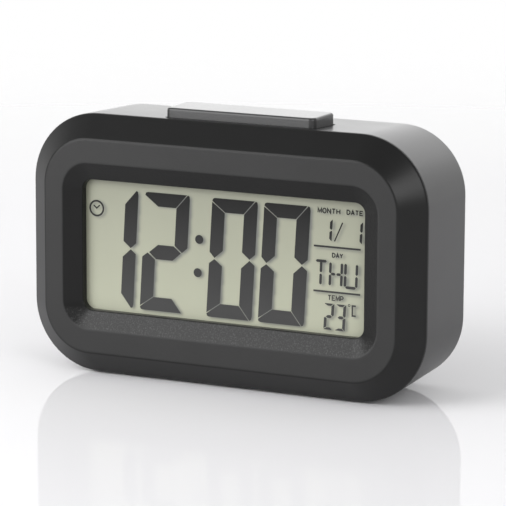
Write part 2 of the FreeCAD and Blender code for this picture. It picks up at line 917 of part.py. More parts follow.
def cell_ways():
    """Side of each cell's positive end, turned about from cell to cell."""
    return [1 if index % 2 == 0 else -1 for index in range(cell_count)]


def battery_cells():
    """Three small round cells lying side by side."""
    cells = []
    for z, way in zip(cell_levels(), cell_ways()):
        plus_x = way * (bay_length / 2 - contact_thickness - contact_dimple)
        shoulder = plus_x - way * cell_nub_length
        minus_x = plus_x - way * cell_length
        can = bar_x(cell_radius, cell_y, z, min(shoulder, minus_x), max(shoulder, minus_x))
        nub = bar_x(cell_nub_radius, cell_y, z, min(shoulder, plus_x), max(shoulder, plus_x))
        cells.append(can.fuse(nub).removeSplitter())
    return Part.Compound(cells)


def contact_plate(side, z0, z1, dimples, tail_z):
    """Plate at one end of the bay, with a dimple for each positive end and a tail."""
    face = side * (bay_length / 2 - contact_thickness)
    end = side * bay_length / 2
    low = min(face, end)
    high = max(face, end)
    top = cell_y + contact_width / 2
    plate = box(low, high, bay_saddle_y, top, z0, z1)
    adds = []
    for z in dimples:
        tip = face - side * contact_dimple
        reach = cell_nub_radius
        adds.append(box(min(face, tip), max(face, tip), cell_y - reach, cell_y + reach, z - reach, z + reach))
    if tail_z is not None:
        y0 = bay_bottom_y - contact_tail
        half = contact_tail_width / 2
        adds.append(box(low, high, y0, bay_saddle_y, tail_z - half, tail_z + half))
    return join(plate, adds) if adds else plate


def tail_places():
    """Side and height of the two plates that have a tail."""
    levels = cell_levels()
    return ((1, levels[0]), (-1, levels[-1]))


def battery_contacts():
    """Plates that join the cells in a row: two single ones and two double ones."""
    levels = cell_levels()
    half = contact_width / 2
    plates = []
    for side in (-1, 1):
        own = tail_places()[0][1] if side == 1 else tail_places()[1][1]
        for index in range(cell_count):
            z = levels[index]
            if z == own:
                dimples = [z] if cell_ways()[index] == side else []
                plates.append(contact_plate(side, z - half, z + half, dimples, z))
        pair = [index for index in range(cell_count) if levels[index] != own]
        dimples = [levels[index] for index in pair if cell_ways()[index] == side]
        plates.append(contact_plate(side, levels[pair[0]] - half, levels[pair[-1]] + half, dimples, None))
    return Part.Compound(plates)


def arc_between(start, corner, end):
    """Arc from start to end whose end tangents meet at corner."""
    middle = (start + end) * 0.5
    lift = corner - middle
    half_chord = (end - start).Length / 2
    bend = math.atan2(lift.Length, half_chord)
    if bend < 1e-6:
        return Part.makeLine(start, end)
    top = middle + lift * (half_chord * math.tan(bend / 2) / lift.Length)
    return Part.Arc(start, top, end).toShape()


def biarc(start, start_way, end, end_way):
    """Two arcs that leave start and reach end along the given directions."""
    span = end - start
    both = start_way + end_way
    spread = 2 * (1 - start_way.dot(end_way))
    along = span.dot(both)
    if spread < 1e-9:
        reach = span.dot(span) / (2 * along)
    else:
        reach = (math.sqrt(along ** 2 + spread * span.dot(span)) - along) / spread
    first = start + start_way * reach
    second = end - end_way * reach
    joint = (first + second) * 0.5
    return [arc_between(start, first, joint), arc_between(joint, second, end)]


def spring_path(base, way):
    """Points and directions of a conical coil from its foot at base, along way in X."""
    coil_start = 2 * spring_wire
    rise = spring_room - running_gap - spring_wire / 2 - coil_start
    quarters = round(4 * spring_turns)
    points = [(Vector(0, 0, -spring_base_radius), Vector(1, 0, 0))]
    points.append((Vector(spring_wire, 0, -spring_base_radius), Vector(1, 0, 0)))
    for index in range(quarters + 1):
        share = index / quarters
        angle = math.radians(spring_lead_angle + 90 * index - 90)
        radius = spring_base_radius + (spring_tip_radius - spring_base_radius) * share
        x = coil_start + rise * share
        place = Vector(x, radius * math.cos(angle), radius * math.sin(angle))
        turn = math.radians(90) * quarters
        d_radius = (spring_tip_radius - spring_base_radius) / turn
        direction = Vector(
            rise / turn,
            d_radius * math.cos(angle) - radius * math.sin(angle),
            d_radius * math.sin(angle) + radius * math.cos(angle),
        )
        direction.normalize()
        points.append((place, direction))
    moved = []
    for place, direction in points:
        here = base + Vector(way * place.x, place.y, place.z)
        moved.append((here, Vector(way * direction.x, direction.y, direction.z)))
    return moved


def tube(edges, start, way, radius):
    """Faceted tube along joined edges."""
    path = Part.Wire(edges)
    way.normalize()
    side = way.cross(UP)
    side.normalize()
    other = way.cross(side)
    corners = []
    for index in range(wire_flats + 1):
        angle = 2 * math.pi * (index % wire_flats) / wire_flats
        corners.append(start + side * (radius * math.cos(angle)) + other * (radius * math.sin(angle)))
    return path.makePipeShell([Part.makePolygon(corners)], True, False)


def coil_spring(base, way):
    """One conical spring with its foot square on its plate."""
    places = spring_path(base, way)
    edges = [Part.makeLine(places[0][0], places[1][0])]
    for (start, start_way), (end, end_way) in zip(places[1:-1], places[2:]):
        edges.extend(biarc(start, start_way, end, end_way))
    return tube(edges, places[0][0], Vector(way, 0, 0), spring_wire / 2), edges


def least_gap(edges):
    """Least clear distance between a coil's turns, measured on points of its middle line."""
    points = []
    run = []
    total = 0.0
    for edge in edges:
        samples = edge.discretize(gap_samples)[:-1]
        for index, point in enumerate(samples):
            points.append(point)
            run.append(total + edge.Length * index / len(samples))
        total += edge.Length
    apart = 4 * spring_wire
    best = total
    for i, first in enumerate(points):
        for j in range(i + 1, len(points)):
            if run[j] - run[i] > apart:
                best = min(best, (points[j] - first).Length)
    return best - spring_wire


def battery_springs():
    """Three conical springs at the negative ends."""
    springs = []
    for z, way in zip(cell_levels(), cell_ways()):
        base = Vector(-way * (bay_length / 2 - contact_thickness), cell_y, z)
        solid, edges = coil_spring(base, way)
        springs.append(solid)
    print("spring gap to itself %.2f mm" % least_gap(edges))
    return Part.Compound(springs)


def battery_door():
    """Door with two tabs below and a springy tongue above."""
    panel = upright(door_length, door_height, door_corner, door_inner_y, back_y, 0.0, bay_mid_z)
    low = bay_floor_z - bay_wall + running_gap
    adds = []
    tab_y = inner_back_y - running_gap
    for x in tab_places():
        half = door_tab_width / 2
        root = tab_y - door_tab_thickness
        adds.append(box(x - half, x + half, root, tab_y, low - door_tab_length, low + bay_wall))
        adds.append(box(x - half, x + half, root, door_inner_y, low, low + bay_wall))
    for z in cell_levels():
        half = bay_length / 2 - door_rib_setback
        rise = door_rib_width / 2
        adds.append(box(-half, half, door_inner_y - door_rib_height, door_inner_y, z - rise, z + rise))
    body = join(panel, adds)
    top = bay_mid_z + door_height / 2
    cuts = []
    for side in (-1, 1):
        x = side * (tongue_width / 2 + tongue_slit / 2)
        half = tongue_slit / 2
        inner = door_inner_y - door_rib_height
        cuts.append(box(x - half, x + half, inner, back_y, top - tongue_reach, top))
    for index in range(grip_count):
        z = top - grip_setback - grip_pitch * index
        half = tongue_width / 2 - grip_margin
        rise = grip_width / 2
        cuts.append(box(-half, half, back_y - grip_depth, back_y, z - rise, z + rise))
    return body.cut(cuts)


def buzzer():
    """Thin disc with a smaller ceramic disc, seated on its ring."""
    seat = inner_back_y - buzzer_ring_height
    disc = rod(buzzer_radius, buzzer_x, buzzer_z, seat - buzzer_thickness, seat)
    face = seat - buzzer_thickness
    ceramic = rod(ceramic_radius, buzzer_x, buzzer_z, face - ceramic_thickness, face)
    return disc.fuse(ceramic).removeSplitter()


def case_screws():
    """Four screws at the bottom of the counterbores, into the bezel's bosses."""
    screws = []
    for x, z in four_corners(case_screw_x, case_screw_z):
        shank = rod(screw_radius, x, z, head_seat_y - screw_length, head_seat_y)
        head = rod(screw_head_radius, x, z, head_seat_y, head_seat_y + screw_head_height)
        screws.append(shank.fuse(head).removeSplitter())
    return Part.Compound(screws)


def foot_block(x, y, gap):
    """Oblong pad from the table up into its pocket, grown by gap sideways."""
    half = foot_length / 2 + gap
    side = foot_width / 2 + gap
    return box(x - half, x + half, y - side, y + side, 0.0, bottom_surface_z(y) + foot_pocket)


def rubber_feet():
    """Four oblong pads in their pockets, level with one another."""
    return Part.Compound([foot_block(x, y, 0.0) for x, y in foot_places()])


def lead(points, radius):
    """Insulated wire: straight runs joined by arcs as large as the runs allow."""
    edges = []
    here = points[0]
    for index in range(1, len(points) - 1):
        before = points[index] - points[index - 1]
        after = points[index + 1] - points[index]
        turn = before.getAngle(after)
        cut = lead_bend_share * min(before.Length, after.Length)
        bend = cut / math.tan(turn / 2)
        print("lead bend %.1f mm" % bend)
        before.normalize()
        after.normalize()
        start = points[index] - before * cut
        end = points[index] + after * cut
        edges.append(Part.makeLine(here, start))
        edges.append(arc_between(start, points[index], end))
        here = end
    edges.append(Part.makeLine(here, points[-1]))
    way = points[1] - points[0]
    return tube(edges, points[0], way, radius)


def board_wire(x, start_y, z, lift):
    """Wire from a contact at start_y to the main board, which it meets higher by lift."""
    third = (start_y - board_back_y) / 3
    points = [
        Vector(x, start_y, z),
        Vector(x, start_y - third, z),
        Vector(x, board_back_y + third, z + lift),
        Vector(x, board_back_y, z + lift),
    ]
    return lead(points, lead_radius)


def battery_leads():
    """Two wires from the bay's tails to the main board."""
    leads = []
    for side, z in tail_places():
        x = side * (bay_length / 2 - contact_thickness / 2)
        leads.append(board_wire(x, bay_bottom_y - contact_tail, z, battery_lead_lift))
    return Part.Compound(leads)


def buzzer_leads():
    """Two wires from the disc to the main board."""
    leads = []
    start_y = inner_back_y - buzzer_ring_height - buzzer_thickness - ceramic_thickness
    for side in (-1, 1):
        x = buzzer_x + side * ceramic_radius / 2
        leads.append(board_wire(x, start_y, buzzer_z, buzzer_lead_lift))
    return Part.Compound(leads)


def board_ribbon():
    """Flat cable in an easy S between the two boards."""
    third = (button_board_y - board_back_y) / 3
    high = button_z - ribbon_offset
    low = high - ribbon_drop
    half = ribbon_thickness / 2
    x = button_row_x
    line = [
        Vector(x, button_board_y, high),
        Vector(x, button_board_y - third, high),
        Vector(x, board_back_y + third, low),
        Vector(x, board_back_y, low),
    ]
    upper = [point + UP * half for point in line]
    lower = [point - UP * half for point in reversed(line)]
    outline = Part.makePolygon(upper + lower + [upper[0]])
    return Part.Face(outline).extrude(ACROSS * ribbon_width)


def pieces():
    """Every piece by its name."""
    made = {
        "front_bezel": front_bezel(),
        "rear_case": rear_case(),
        "polariser_films": polariser_films(),
        "lcd_front_glass": lcd_front_glass(),
        "lcd_rear_glass": lcd_rear_glass(),
        "lcd_frame": lcd_frame(),
        "light_guide": light_guide(),
        "reflector_sheet": reflector_sheet(),
        "backlight_lamps": backlight_lamps(),
        "zebra_strip": zebra_strip(),
        "main_board": main_board(),
        "board_screws": board_screws(),
        "clock_chip": clock_chip(),
        "crystal": crystal(),
        "capacitors": capacitors(),
        "thermistor": thermistor(),
        "snooze_switch": snooze_switch(),
        "snooze_stem": snooze_stem(),
        "snooze_bar": snooze_bar(),
        "button_board": button_board(),
        "button_board_screws": button_board_screws(),
        "button_switches": button_switches(),
        "alarm_switch_base": alarm_switch_base(),
        "alarm_switch_lever": alarm_switch_lever(),
        "alarm_switch_cap": alarm_switch_cap(),
        "battery_cells": battery_cells(),
        "battery_contacts": battery_contacts(),
        "battery_springs": battery_springs(),
        "battery_door": battery_door(),
        "buzzer": buzzer(),
        "case_screws": case_screws(),
        "rubber_feet": rubber_feet(),
        "battery_leads": battery_leads(),
        "buzzer_leads": buzzer_leads(),
        "board_ribbon": board_ribbon(),
    }
    for name, x in zip(button_names, button_places()):
        made[name + "_button"] = button(x)
        made[name + "_switch_stem"] = switch_stem(x)
    return made


os.makedirs("parts", exist_ok=True)
for name, shape in pieces().items():
    shape.exportStep("parts/" + name + ".step")
    print(name, "solids", len(shape.Solids), "volume %.1f" % shape.Volume, "valid", shape.isValid())
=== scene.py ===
import json
from functools import partial
import math
import bmesh
import bpy
import numpy as np
from mathutils import Matrix, Vector
from mathutils.geometry import delaunay_2d_cdt


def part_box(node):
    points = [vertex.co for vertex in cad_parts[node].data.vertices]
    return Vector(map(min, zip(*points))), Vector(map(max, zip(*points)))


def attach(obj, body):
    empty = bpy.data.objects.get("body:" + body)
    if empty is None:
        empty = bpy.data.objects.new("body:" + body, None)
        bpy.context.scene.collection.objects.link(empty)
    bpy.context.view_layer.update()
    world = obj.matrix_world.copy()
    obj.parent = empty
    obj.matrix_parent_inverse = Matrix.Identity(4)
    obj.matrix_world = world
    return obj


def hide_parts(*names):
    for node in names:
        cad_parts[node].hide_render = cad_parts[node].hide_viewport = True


# %% [markdown]
# This lesson dresses a desk clock with a large liquid-crystal screen. The construction is already
# there as a fixed frame: every part at its real size, in metres, +Z up, screen towards -Y.
# The cells below make the moulded skins, the screen and the finishes that the eye meets.

# %% Load the frame
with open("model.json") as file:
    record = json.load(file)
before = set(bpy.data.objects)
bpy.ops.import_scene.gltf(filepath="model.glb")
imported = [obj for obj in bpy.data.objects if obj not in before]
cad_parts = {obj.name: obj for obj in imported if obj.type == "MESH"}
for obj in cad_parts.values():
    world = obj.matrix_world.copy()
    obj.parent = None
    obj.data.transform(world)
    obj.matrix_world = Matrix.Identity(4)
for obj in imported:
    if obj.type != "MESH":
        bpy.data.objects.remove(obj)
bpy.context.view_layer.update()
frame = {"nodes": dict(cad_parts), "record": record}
MM = 0.001


def low_high(node):
    """Lowest and highest corner of a node in millimetres."""
    low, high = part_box(node)
    return np.array(low) / MM, np.array(high) / MM


# %% [markdown]
# Sizes are written in millimetres, because that is how a moulded part is drawn. Depths that other
# parts set, such as the screen's face or the back wall, are read from the frame.

# %% Sizes of the case
case_width = 135.0
case_height = 82.7
case_corner = 22.4
case_wall = 2.2
draft = 1.2
back_round = 2.6
chamfer = 7.3
chamfer_depth = 6.6
window_half = np.array([48.4, 20.85])
window_corner = 3.3
funnel_width = 5.6
funnel_depth = 3.0
ring_back = 2.2
screen_seat = 3.0
corner_steps = 22

bezel_low = low_high("front_bezel")[0]
rear_low = low_high("rear_case")[0]
door_low, door_high = low_high("battery_door")
film_low, film_high = low_high("polariser_films")
front_y = bezel_low[1]
seam_y = rear_low[1]
back_y = door_high[1]
edge_y = front_y + chamfer_depth
side_end_y = back_y - back_round
inner_back_y = back_y - case_wall
screen_y = film_low[1]
middle_z = rear_low[2] + case_height / 2
print("front, seam, back in mm", front_y, seam_y, back_y)

# %% [markdown]
# Most of the clock is one kind of surface: a rounded rectangle that changes size as it goes
# deeper. So the first helper makes such an outline, and the second rounds a profile's corners.

# %% Outlines and profiles
def rounded(half_a, half_b, radius, steps=corner_steps):
    """Points of a rounded rectangle.

    Each corner is its centre plus radius times (cos, sin) of a quarter turn."""
    quarter = np.arange(4)[:, None]
    angle = (quarter + np.linspace(0.0, 1.0, steps + 1)[None, :]) * math.pi / 2
    side = np.where((quarter == 0) | (quarter == 3), 1.0, -1.0)
    rise = np.where(quarter < 2, 1.0, -1.0)
    a = side * (half_a - radius) + radius * np.cos(angle)
    b = rise * (half_b - radius) + radius * np.sin(angle)
    return np.stack([a.ravel(), b.ravel()], 1)


def circle(radius, steps=48):
    """Points of a circle: radius times (cos, sin)."""
    angle = np.arange(steps) * 2 * math.pi / steps
    return radius * np.stack([np.cos(angle), np.sin(angle)], 1)


def soften(profile, cuts, steps=4):
    """Profile with rounded corners.

    Each is (1-t)^2 A + 2t(1-t) P + t^2 B, where A and B lie a cut before and after P."""
    profile = np.asarray(profile, float)
    rows = [profile[:1]]
    t = np.linspace(0.0, 1.0, steps + 1)[:, None]
    for before, corner, after, cut in zip(profile, profile[1:], profile[2:], cuts):
        if cut <= 0:
            rows.append(corner[None, :])
            continue
        first = corner + (before - corner) * (cut / np.hypot(*(before - corner)[[0, -1]]))
        last = corner + (after - corner) * (cut / np.hypot(*(after - corner)[[0, -1]]))
        rows.append((1 - t) ** 2 * first + 2 * t * (1 - t) * corner + t ** 2 * last)
    rows.append(profile[-1:])
    return np.vstack(rows)


def standing(points, y, centre=(0.0, 0.0)):
    """Outline placed upright at depth y, round a centre in x and z."""
    x = points[:, 0] + centre[0]
    return np.stack([x, np.broadcast_to(y, x.shape), points[:, 1] + centre[1]], 1)


def lying(points, z, centre=(0.0, 0.0)):
    """Outline laid level at height z, round a centre in x and y."""
    x = points[:, 0] + centre[0]
    return np.stack([x, points[:, 1] + centre[1], np.broadcast_to(z, x.shape)], 1)


# %% [markdown]
# A skin is a row of outlines with faces between them, or one flat face with or without holes.
# Holes are cut by a net of triangles that keeps every edge of every outline.

# %% Faces between outlines
def loft(loops, closed=False):
    """Quads between equal loops.

    Vertex (i, j) joins (i, j+1), (i+1, j+1) and (i+1, j), with j going round."""
    grid = np.asarray(loops, float)
    rows, count = grid.shape[:2]
    i = np.arange(rows if closed else rows - 1)[:, None]
    j = np.arange(count)[None, :]
    after_i, after_j = (i + 1) % rows, (j + 1) % count
    corners = [i * count + j, i * count + after_j, after_i * count + after_j, after_i * count + j]
    faces = np.stack([np.broadcast_to(c, (i.size, count)) for c in corners], -1)
    return grid.reshape(-1, 3), faces.reshape(-1, 4).tolist()


def lid(loop):
    """One flat face across a loop."""
    return loop, [list(range(len(loop)))]


def covered(polygon, a, b):
    """True where a point lies in the polygon: an odd number of edges is crossed on the way out."""
    found = np.zeros(a.shape, bool)
    for (a0, b0), (a1, b1) in zip(polygon, np.roll(polygon, -1, 0)):
        if b0 == b1:
            continue
        spans = (b0 > b) != (b1 > b)
        found ^= spans & (a < (a1 - a0) * (b - b0) / (b1 - b0) + a0)
    return found


def holed(outer, holes, place):
    """Flat face with holes.

    It is a constrained Delaunay net, less the triangles whose middle lies outside or in a hole."""
    loops = [np.asarray(loop, float) for loop in [outer] + list(holes)]
    edges, start = [], 0
    for loop in loops:
        index = np.arange(len(loop))
        edges += np.stack([index + start, (index + 1) % len(loop) + start], 1).tolist()
        start += len(loop)
    flat = [Vector(p) for p in np.vstack(loops).tolist()]
    found = delaunay_2d_cdt(flat, edges, [], 1, 1e-7)
    points, triangles = np.array([tuple(p) for p in found[0]]), np.array(found[2])
    middle = points[triangles].mean(1)
    kept = covered(loops[0], *middle.T)
    for hole in loops[1:]:
        kept &= ~covered(hole, *middle.T)
    return place(points), triangles[kept].tolist()


def turned(profile, centre, axis, steps=48):
    """Surface of revolution: each profile row is a radius and a distance along the axis."""
    along = np.array(axis, float)
    side = np.array([0.0, 0.0, 1.0]) if abs(along[2]) < 0.5 else np.array([1.0, 0.0, 0.0])
    other = np.cross(along, side)
    ring = circle(1.0, steps)
    profile = np.asarray(profile, float)
    spokes = ring[:, :1] * side + ring[:, 1:] * other
    grid = profile[:, None, :1] * spokes[None] + profile[:, None, 1:] * along
    return loft(grid + np.array(centre, float))


# %% [markdown]
# Every piece ends in the same way: its parts become one mesh, which rides on a body of the clock
# and takes the place of the plain solid that it dresses.

# %% Turning arrays into a finished piece
weld_distance = 2e-6


def make_piece(name, parts, finish, body, replaces=(), sharp=32.0):
    """One object out of parts, which are points in mm and faces.

    The parts are welded, turned outwards and shaded smooth where they bend gently."""
    points, faces, start = [], [], 0
    for part_points, part_faces in parts:
        points.append(np.asarray(part_points, float))
        faces += [[corner + start for corner in face] for face in part_faces]
        start += len(part_points)
    mesh = bpy.data.meshes.new(name)
    mesh.from_pydata((np.vstack(points) * MM).tolist(), [], faces)
    work = bmesh.new()
    work.from_mesh(mesh)
    bmesh.ops.remove_doubles(work, verts=work.verts, dist=weld_distance)
    bmesh.ops.recalc_face_normals(work, faces=work.faces)
    open_edges = sum(1 for edge in work.edges if len(edge.link_faces) != 2)
    work.to_mesh(mesh)
    work.free()
    mesh.shade_smooth()
    mesh.set_sharp_from_angle(angle=math.radians(sharp))
    piece = bpy.data.objects.new(name, mesh)
    bpy.context.scene.collection.objects.link(piece)
    even = piece.modifiers.new("even", "WEIGHTED_NORMAL")
    even.keep_sharp = True
    mesh.materials.append(finish)
    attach(piece, body)
    if replaces:
        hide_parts(*replaces)
    print(name, "faces", len(mesh.polygons), "open edges", open_edges)
    return piece


# %% [markdown]
# Every finish is a small network of nodes. Effects that several finishes share live in node groups
# with named inputs: a fine moulded grain, and a broad unevenness that keeps large faces alive.

# %% Shared effects
def new_group(name, inputs, outputs):
    """Empty shader group with its sockets, its input node and its output node."""
    group = bpy.data.node_groups.new(name, "ShaderNodeTree")
    for label, kind, value in inputs:
        socket = group.interface.new_socket(name=label, in_out="INPUT", socket_type=kind)
        if value is not None:
            socket.default_value = value
    for label, kind in outputs:
        group.interface.new_socket(name=label, in_out="OUTPUT", socket_type=kind)
    return group, group.nodes.new("NodeGroupInput"), group.nodes.new("NodeGroupOutput")


def add(tree, kind, links=(), **values):
    """One node with its properties set and its inputs linked."""
    node = tree.nodes.new(kind)
    for key, value in values.items():
        setattr(node, key, value)
    for socket, source in links:
        if isinstance(source, bpy.types.NodeSocket):
            tree.links.new(source, node.inputs[socket])
        else:
            node.inputs[socket].default_value = source
    return node


def calc(tree, operation, *terms):
    """Result of a sum or product of sockets and plain numbers."""
    return add(tree, "ShaderNodeMath", enumerate(terms), operation=operation).outputs[0]


def remap(tree, value, source, target=(0.0, 1.0), **options):
    """A value carried from one range to another and held at both ends."""
    labels = ("Value", "From Min", "From Max", "To Min", "To Max")
    links = zip(labels, (value, *source, *target))
    return add(tree, "ShaderNodeMapRange", links, **options).outputs[0]


def noise(tree, place, scale, detail, **others):
    """Soft random value that changes from place to place."""
    links = [("Vector", place), ("Scale", scale), ("Detail", detail), *others.items()]
    return add(tree, "ShaderNodeTexNoise", links).outputs[0]


def grain_group():
    """Spark-eroded mould grain: fine noise with small pits, as a height and a sparse speck mask."""
    group, source, sink = new_group(
        "moulded_grain",
        [("Vector", "NodeSocketVector", None), ("Scale", "NodeSocketFloat", 2500.0),
         ("Speck", "NodeSocketFloat", 0.62)],
        [("Height", "NodeSocketFloat"), ("Specks", "NodeSocketFloat")],
    )
    place, scale, edge = (source.outputs[label] for label in ("Vector", "Scale", "Speck"))
    fine = noise(group, place, scale, 2.0, Roughness=0.6)
    coarse = noise(group, place, calc(group, "MULTIPLY", scale, coarse_share), 1.0)
    group.links.new(calc(group, "ADD", fine, coarse), sink.inputs["Height"])
    group.links.new(remap(group, fine, (edge, speck_full)), sink.inputs["Specks"])
    return group


def mottle_group():
    """Broad soft unevenness round one: noise mapped to one plus or minus the amount."""
    group, source, sink = new_group(
        "mottle",
        [("Vector", "NodeSocketVector", None), ("Scale", "NodeSocketFloat", 40.0),
         ("Amount", "NodeSocketFloat", 0.08)],
        [("Factor", "NodeSocketFloat")],
    )
    place, scale, amount = (source.outputs[label] for label in ("Vector", "Scale", "Amount"))
    low = calc(group, "SUBTRACT", 1.0, amount)
    high = calc(group, "ADD", 1.0, amount)
    factor = remap(group, noise(group, place, scale, 3.0), (0.3, 0.7), (low, high))
    group.links.new(factor, sink.inputs["Factor"])
    return group


coarse_share = 0.35
speck_full = 0.78
moulded_grain = grain_group()
mottle = mottle_group()
print("shared effects", [group.name for group in bpy.data.node_groups])

# %% [markdown]
# Each material starts from the same shader. Its steady values sit on the shader's own sockets,
# and only what changes over the surface comes through a link, so the network stays small.

# %% Helpers for one material


def start_finish(name, color, roughness, **sockets):
    """Material with a Principled shader whose constant values sit on its own sockets."""
    finish = bpy.data.materials.new(name)
    finish.use_nodes = True
    finish.diffuse_color = (*color, 1.0)
    tree = finish.node_tree
    shader = tree.nodes["Principled BSDF"]
    shader.inputs["Base Color"].default_value = (*color, 1.0)
    shader.inputs["Roughness"].default_value = roughness
    for label, value in sockets.items():
        shader.inputs[label.replace("_", " ")].default_value = value
    place = add(tree, "ShaderNodeTexCoord").outputs["Object"]
    return finish, tree, shader, place


def scaled_color(tree, color, factor):
    """Colour times a factor that changes over the surface."""
    links = [(0, 1.0), (6, (*color, 1.0)), (7, factor)]
    return add(tree, "ShaderNodeMix", links, data_type="RGBA", blend_type="MULTIPLY").outputs[2]


def blend(tree, factor, first, second):
    """Colour that goes from the first to the second as the factor grows."""
    return add(tree, "ShaderNodeMix", [(0, factor), (6, first), (7, second)], data_type="RGBA").outputs[2]


def effect(tree, group, place, **inputs):
    """Outputs of a shared effect at a place, with its other inputs by name."""
    return add(tree, "ShaderNodeGroup", [("Vector", place), *inputs.items()], node_tree=group).outputs


def attribute(tree, name):
    """The number that a piece stores at each point under a name."""
    return add(tree, "ShaderNodeAttribute", attribute_name=name).outputs["Fac"]


def height_of(tree, place):
    """The upward share of a place."""
    return add(tree, "ShaderNodeSeparateXYZ", [(0, place)]).outputs[2]


def grey_base(tree, shader, level):
    """Gives the shader a neutral grey of a level that changes over the surface."""
    grey = add(tree, "ShaderNodeCombineColor", [(0, level), (1, level), (2, level)])
    tree.links.new(grey.outputs[0], shader.inputs["Base Color"])


def bumped(tree, shader, height, strength, rise):
    """Tilts the shader's normal by a height that may rise so far, in metres."""
    bump = add(tree, "ShaderNodeBump", [("Strength", strength), ("Distance", rise), ("Height", height)])
    tree.links.new(bump.outputs[0], shader.inputs["Normal"])


grain_rise = 0.00008
speck_edge = 0.62
speck_light = 0.10
speck_gain = 2.5


def moulded(name, color, roughness, grain=2500.0, depth=0.15, specks=0.0, amount=0.08, **sockets):
    """Moulded plastic: broad unevenness in colour and gloss, and a grain that specks and bumps it."""
    finish, tree, shader, place = start_finish(name, color, roughness, **sockets)
    uneven = effect(tree, mottle, place, Amount=amount)["Factor"]
    grained = effect(tree, moulded_grain, place, Scale=grain, Speck=speck_edge)
    base = scaled_color(tree, color, uneven)
    if specks:
        share = calc(tree, "MULTIPLY", grained["Specks"], specks)
        light = [min(1.0, speck_light + speck_gain * part) for part in color]
        base = blend(tree, share, base, (*light, 1.0))
    tree.links.new(base, shader.inputs["Base Color"])
    tree.links.new(calc(tree, "MULTIPLY", uneven, roughness), shader.inputs["Roughness"])
    bumped(tree, shader, grained["Height"], depth, grain_rise)
    return finish


# %% [markdown]
# The clock's plastic is nearly black everywhere, but not the same: the front frame has a fine
# eroded grain, the rear shell is smoother, and the bar and buttons are smoother still.

# %% Finish of the front frame
ring_tones = (0.010, 0.024)
funnel_tone = -0.017
# Painted light: the funnel's lower side is lifted in tone, and its grain specks show there as painted
# glints.
lower_funnel_light_tone = 0.005
speck_glint_tone = 0.042
window_low_z = (middle_z - window_half[1]) * MM
lower_funnel_light_span = (window_low_z + 0.0012, window_low_z - 0.0004)
ring_gloss = (0.33, 0.42)
funnel_gloss = -0.13
grain_depths = (0.08, 0.75)


def bezel_material():
    """Front frame: satin chamfer, matt ring and speckled funnel, told apart by grit: zero, a half and one.

    The funnel's lower side is painted lighter, and its grain specks show there alone as painted glints."""
    finish, tree, shader, place = start_finish("bezel_plastic", (0.012, 0.012, 0.0125), 0.34, IOR=1.34)
    grit = attribute(tree, "grit")
    grained = effect(tree, moulded_grain, place, Scale=2200.0, Speck=0.50)
    uneven = effect(tree, mottle, place, Amount=0.06)["Factor"]
    ring = remap(tree, grit, (0.0, 0.5), ring_tones)
    funnel = remap(tree, grit, (0.5, 1.0))
    tone = calc(tree, "MULTIPLY_ADD", funnel, funnel_tone, ring)
    # Painted light: a lighter lower funnel, with painted glints on its grain specks.
    lower_funnel_lit = calc(tree, "MULTIPLY", funnel, remap(tree, height_of(tree, place), lower_funnel_light_span))
    lit_tone = calc(tree, "MULTIPLY_ADD", lower_funnel_lit, lower_funnel_light_tone, tone)
    speck = calc(tree, "MULTIPLY", grained["Specks"], lower_funnel_lit)
    raised_tone = calc(tree, "MULTIPLY_ADD", speck, speck_glint_tone, lit_tone)
    grey_base(tree, shader, calc(tree, "MULTIPLY", raised_tone, uneven))
    matt = remap(tree, grit, (0.0, 0.5), ring_gloss)
    tree.links.new(calc(tree, "MULTIPLY_ADD", funnel, funnel_gloss, matt), shader.inputs["Roughness"])
    depth = remap(tree, grit, (0.0, 1.0), grain_depths)
    bumped(tree, shader, calc(tree, "MULTIPLY", grained["Height"], depth), 0.6, grain_rise)
    return finish


# %% [markdown]
# The other finishes differ only in colour, gloss and grain, so they are rows of one table: the
# colour, the roughness, then how fine the grain is and how deep it cuts.

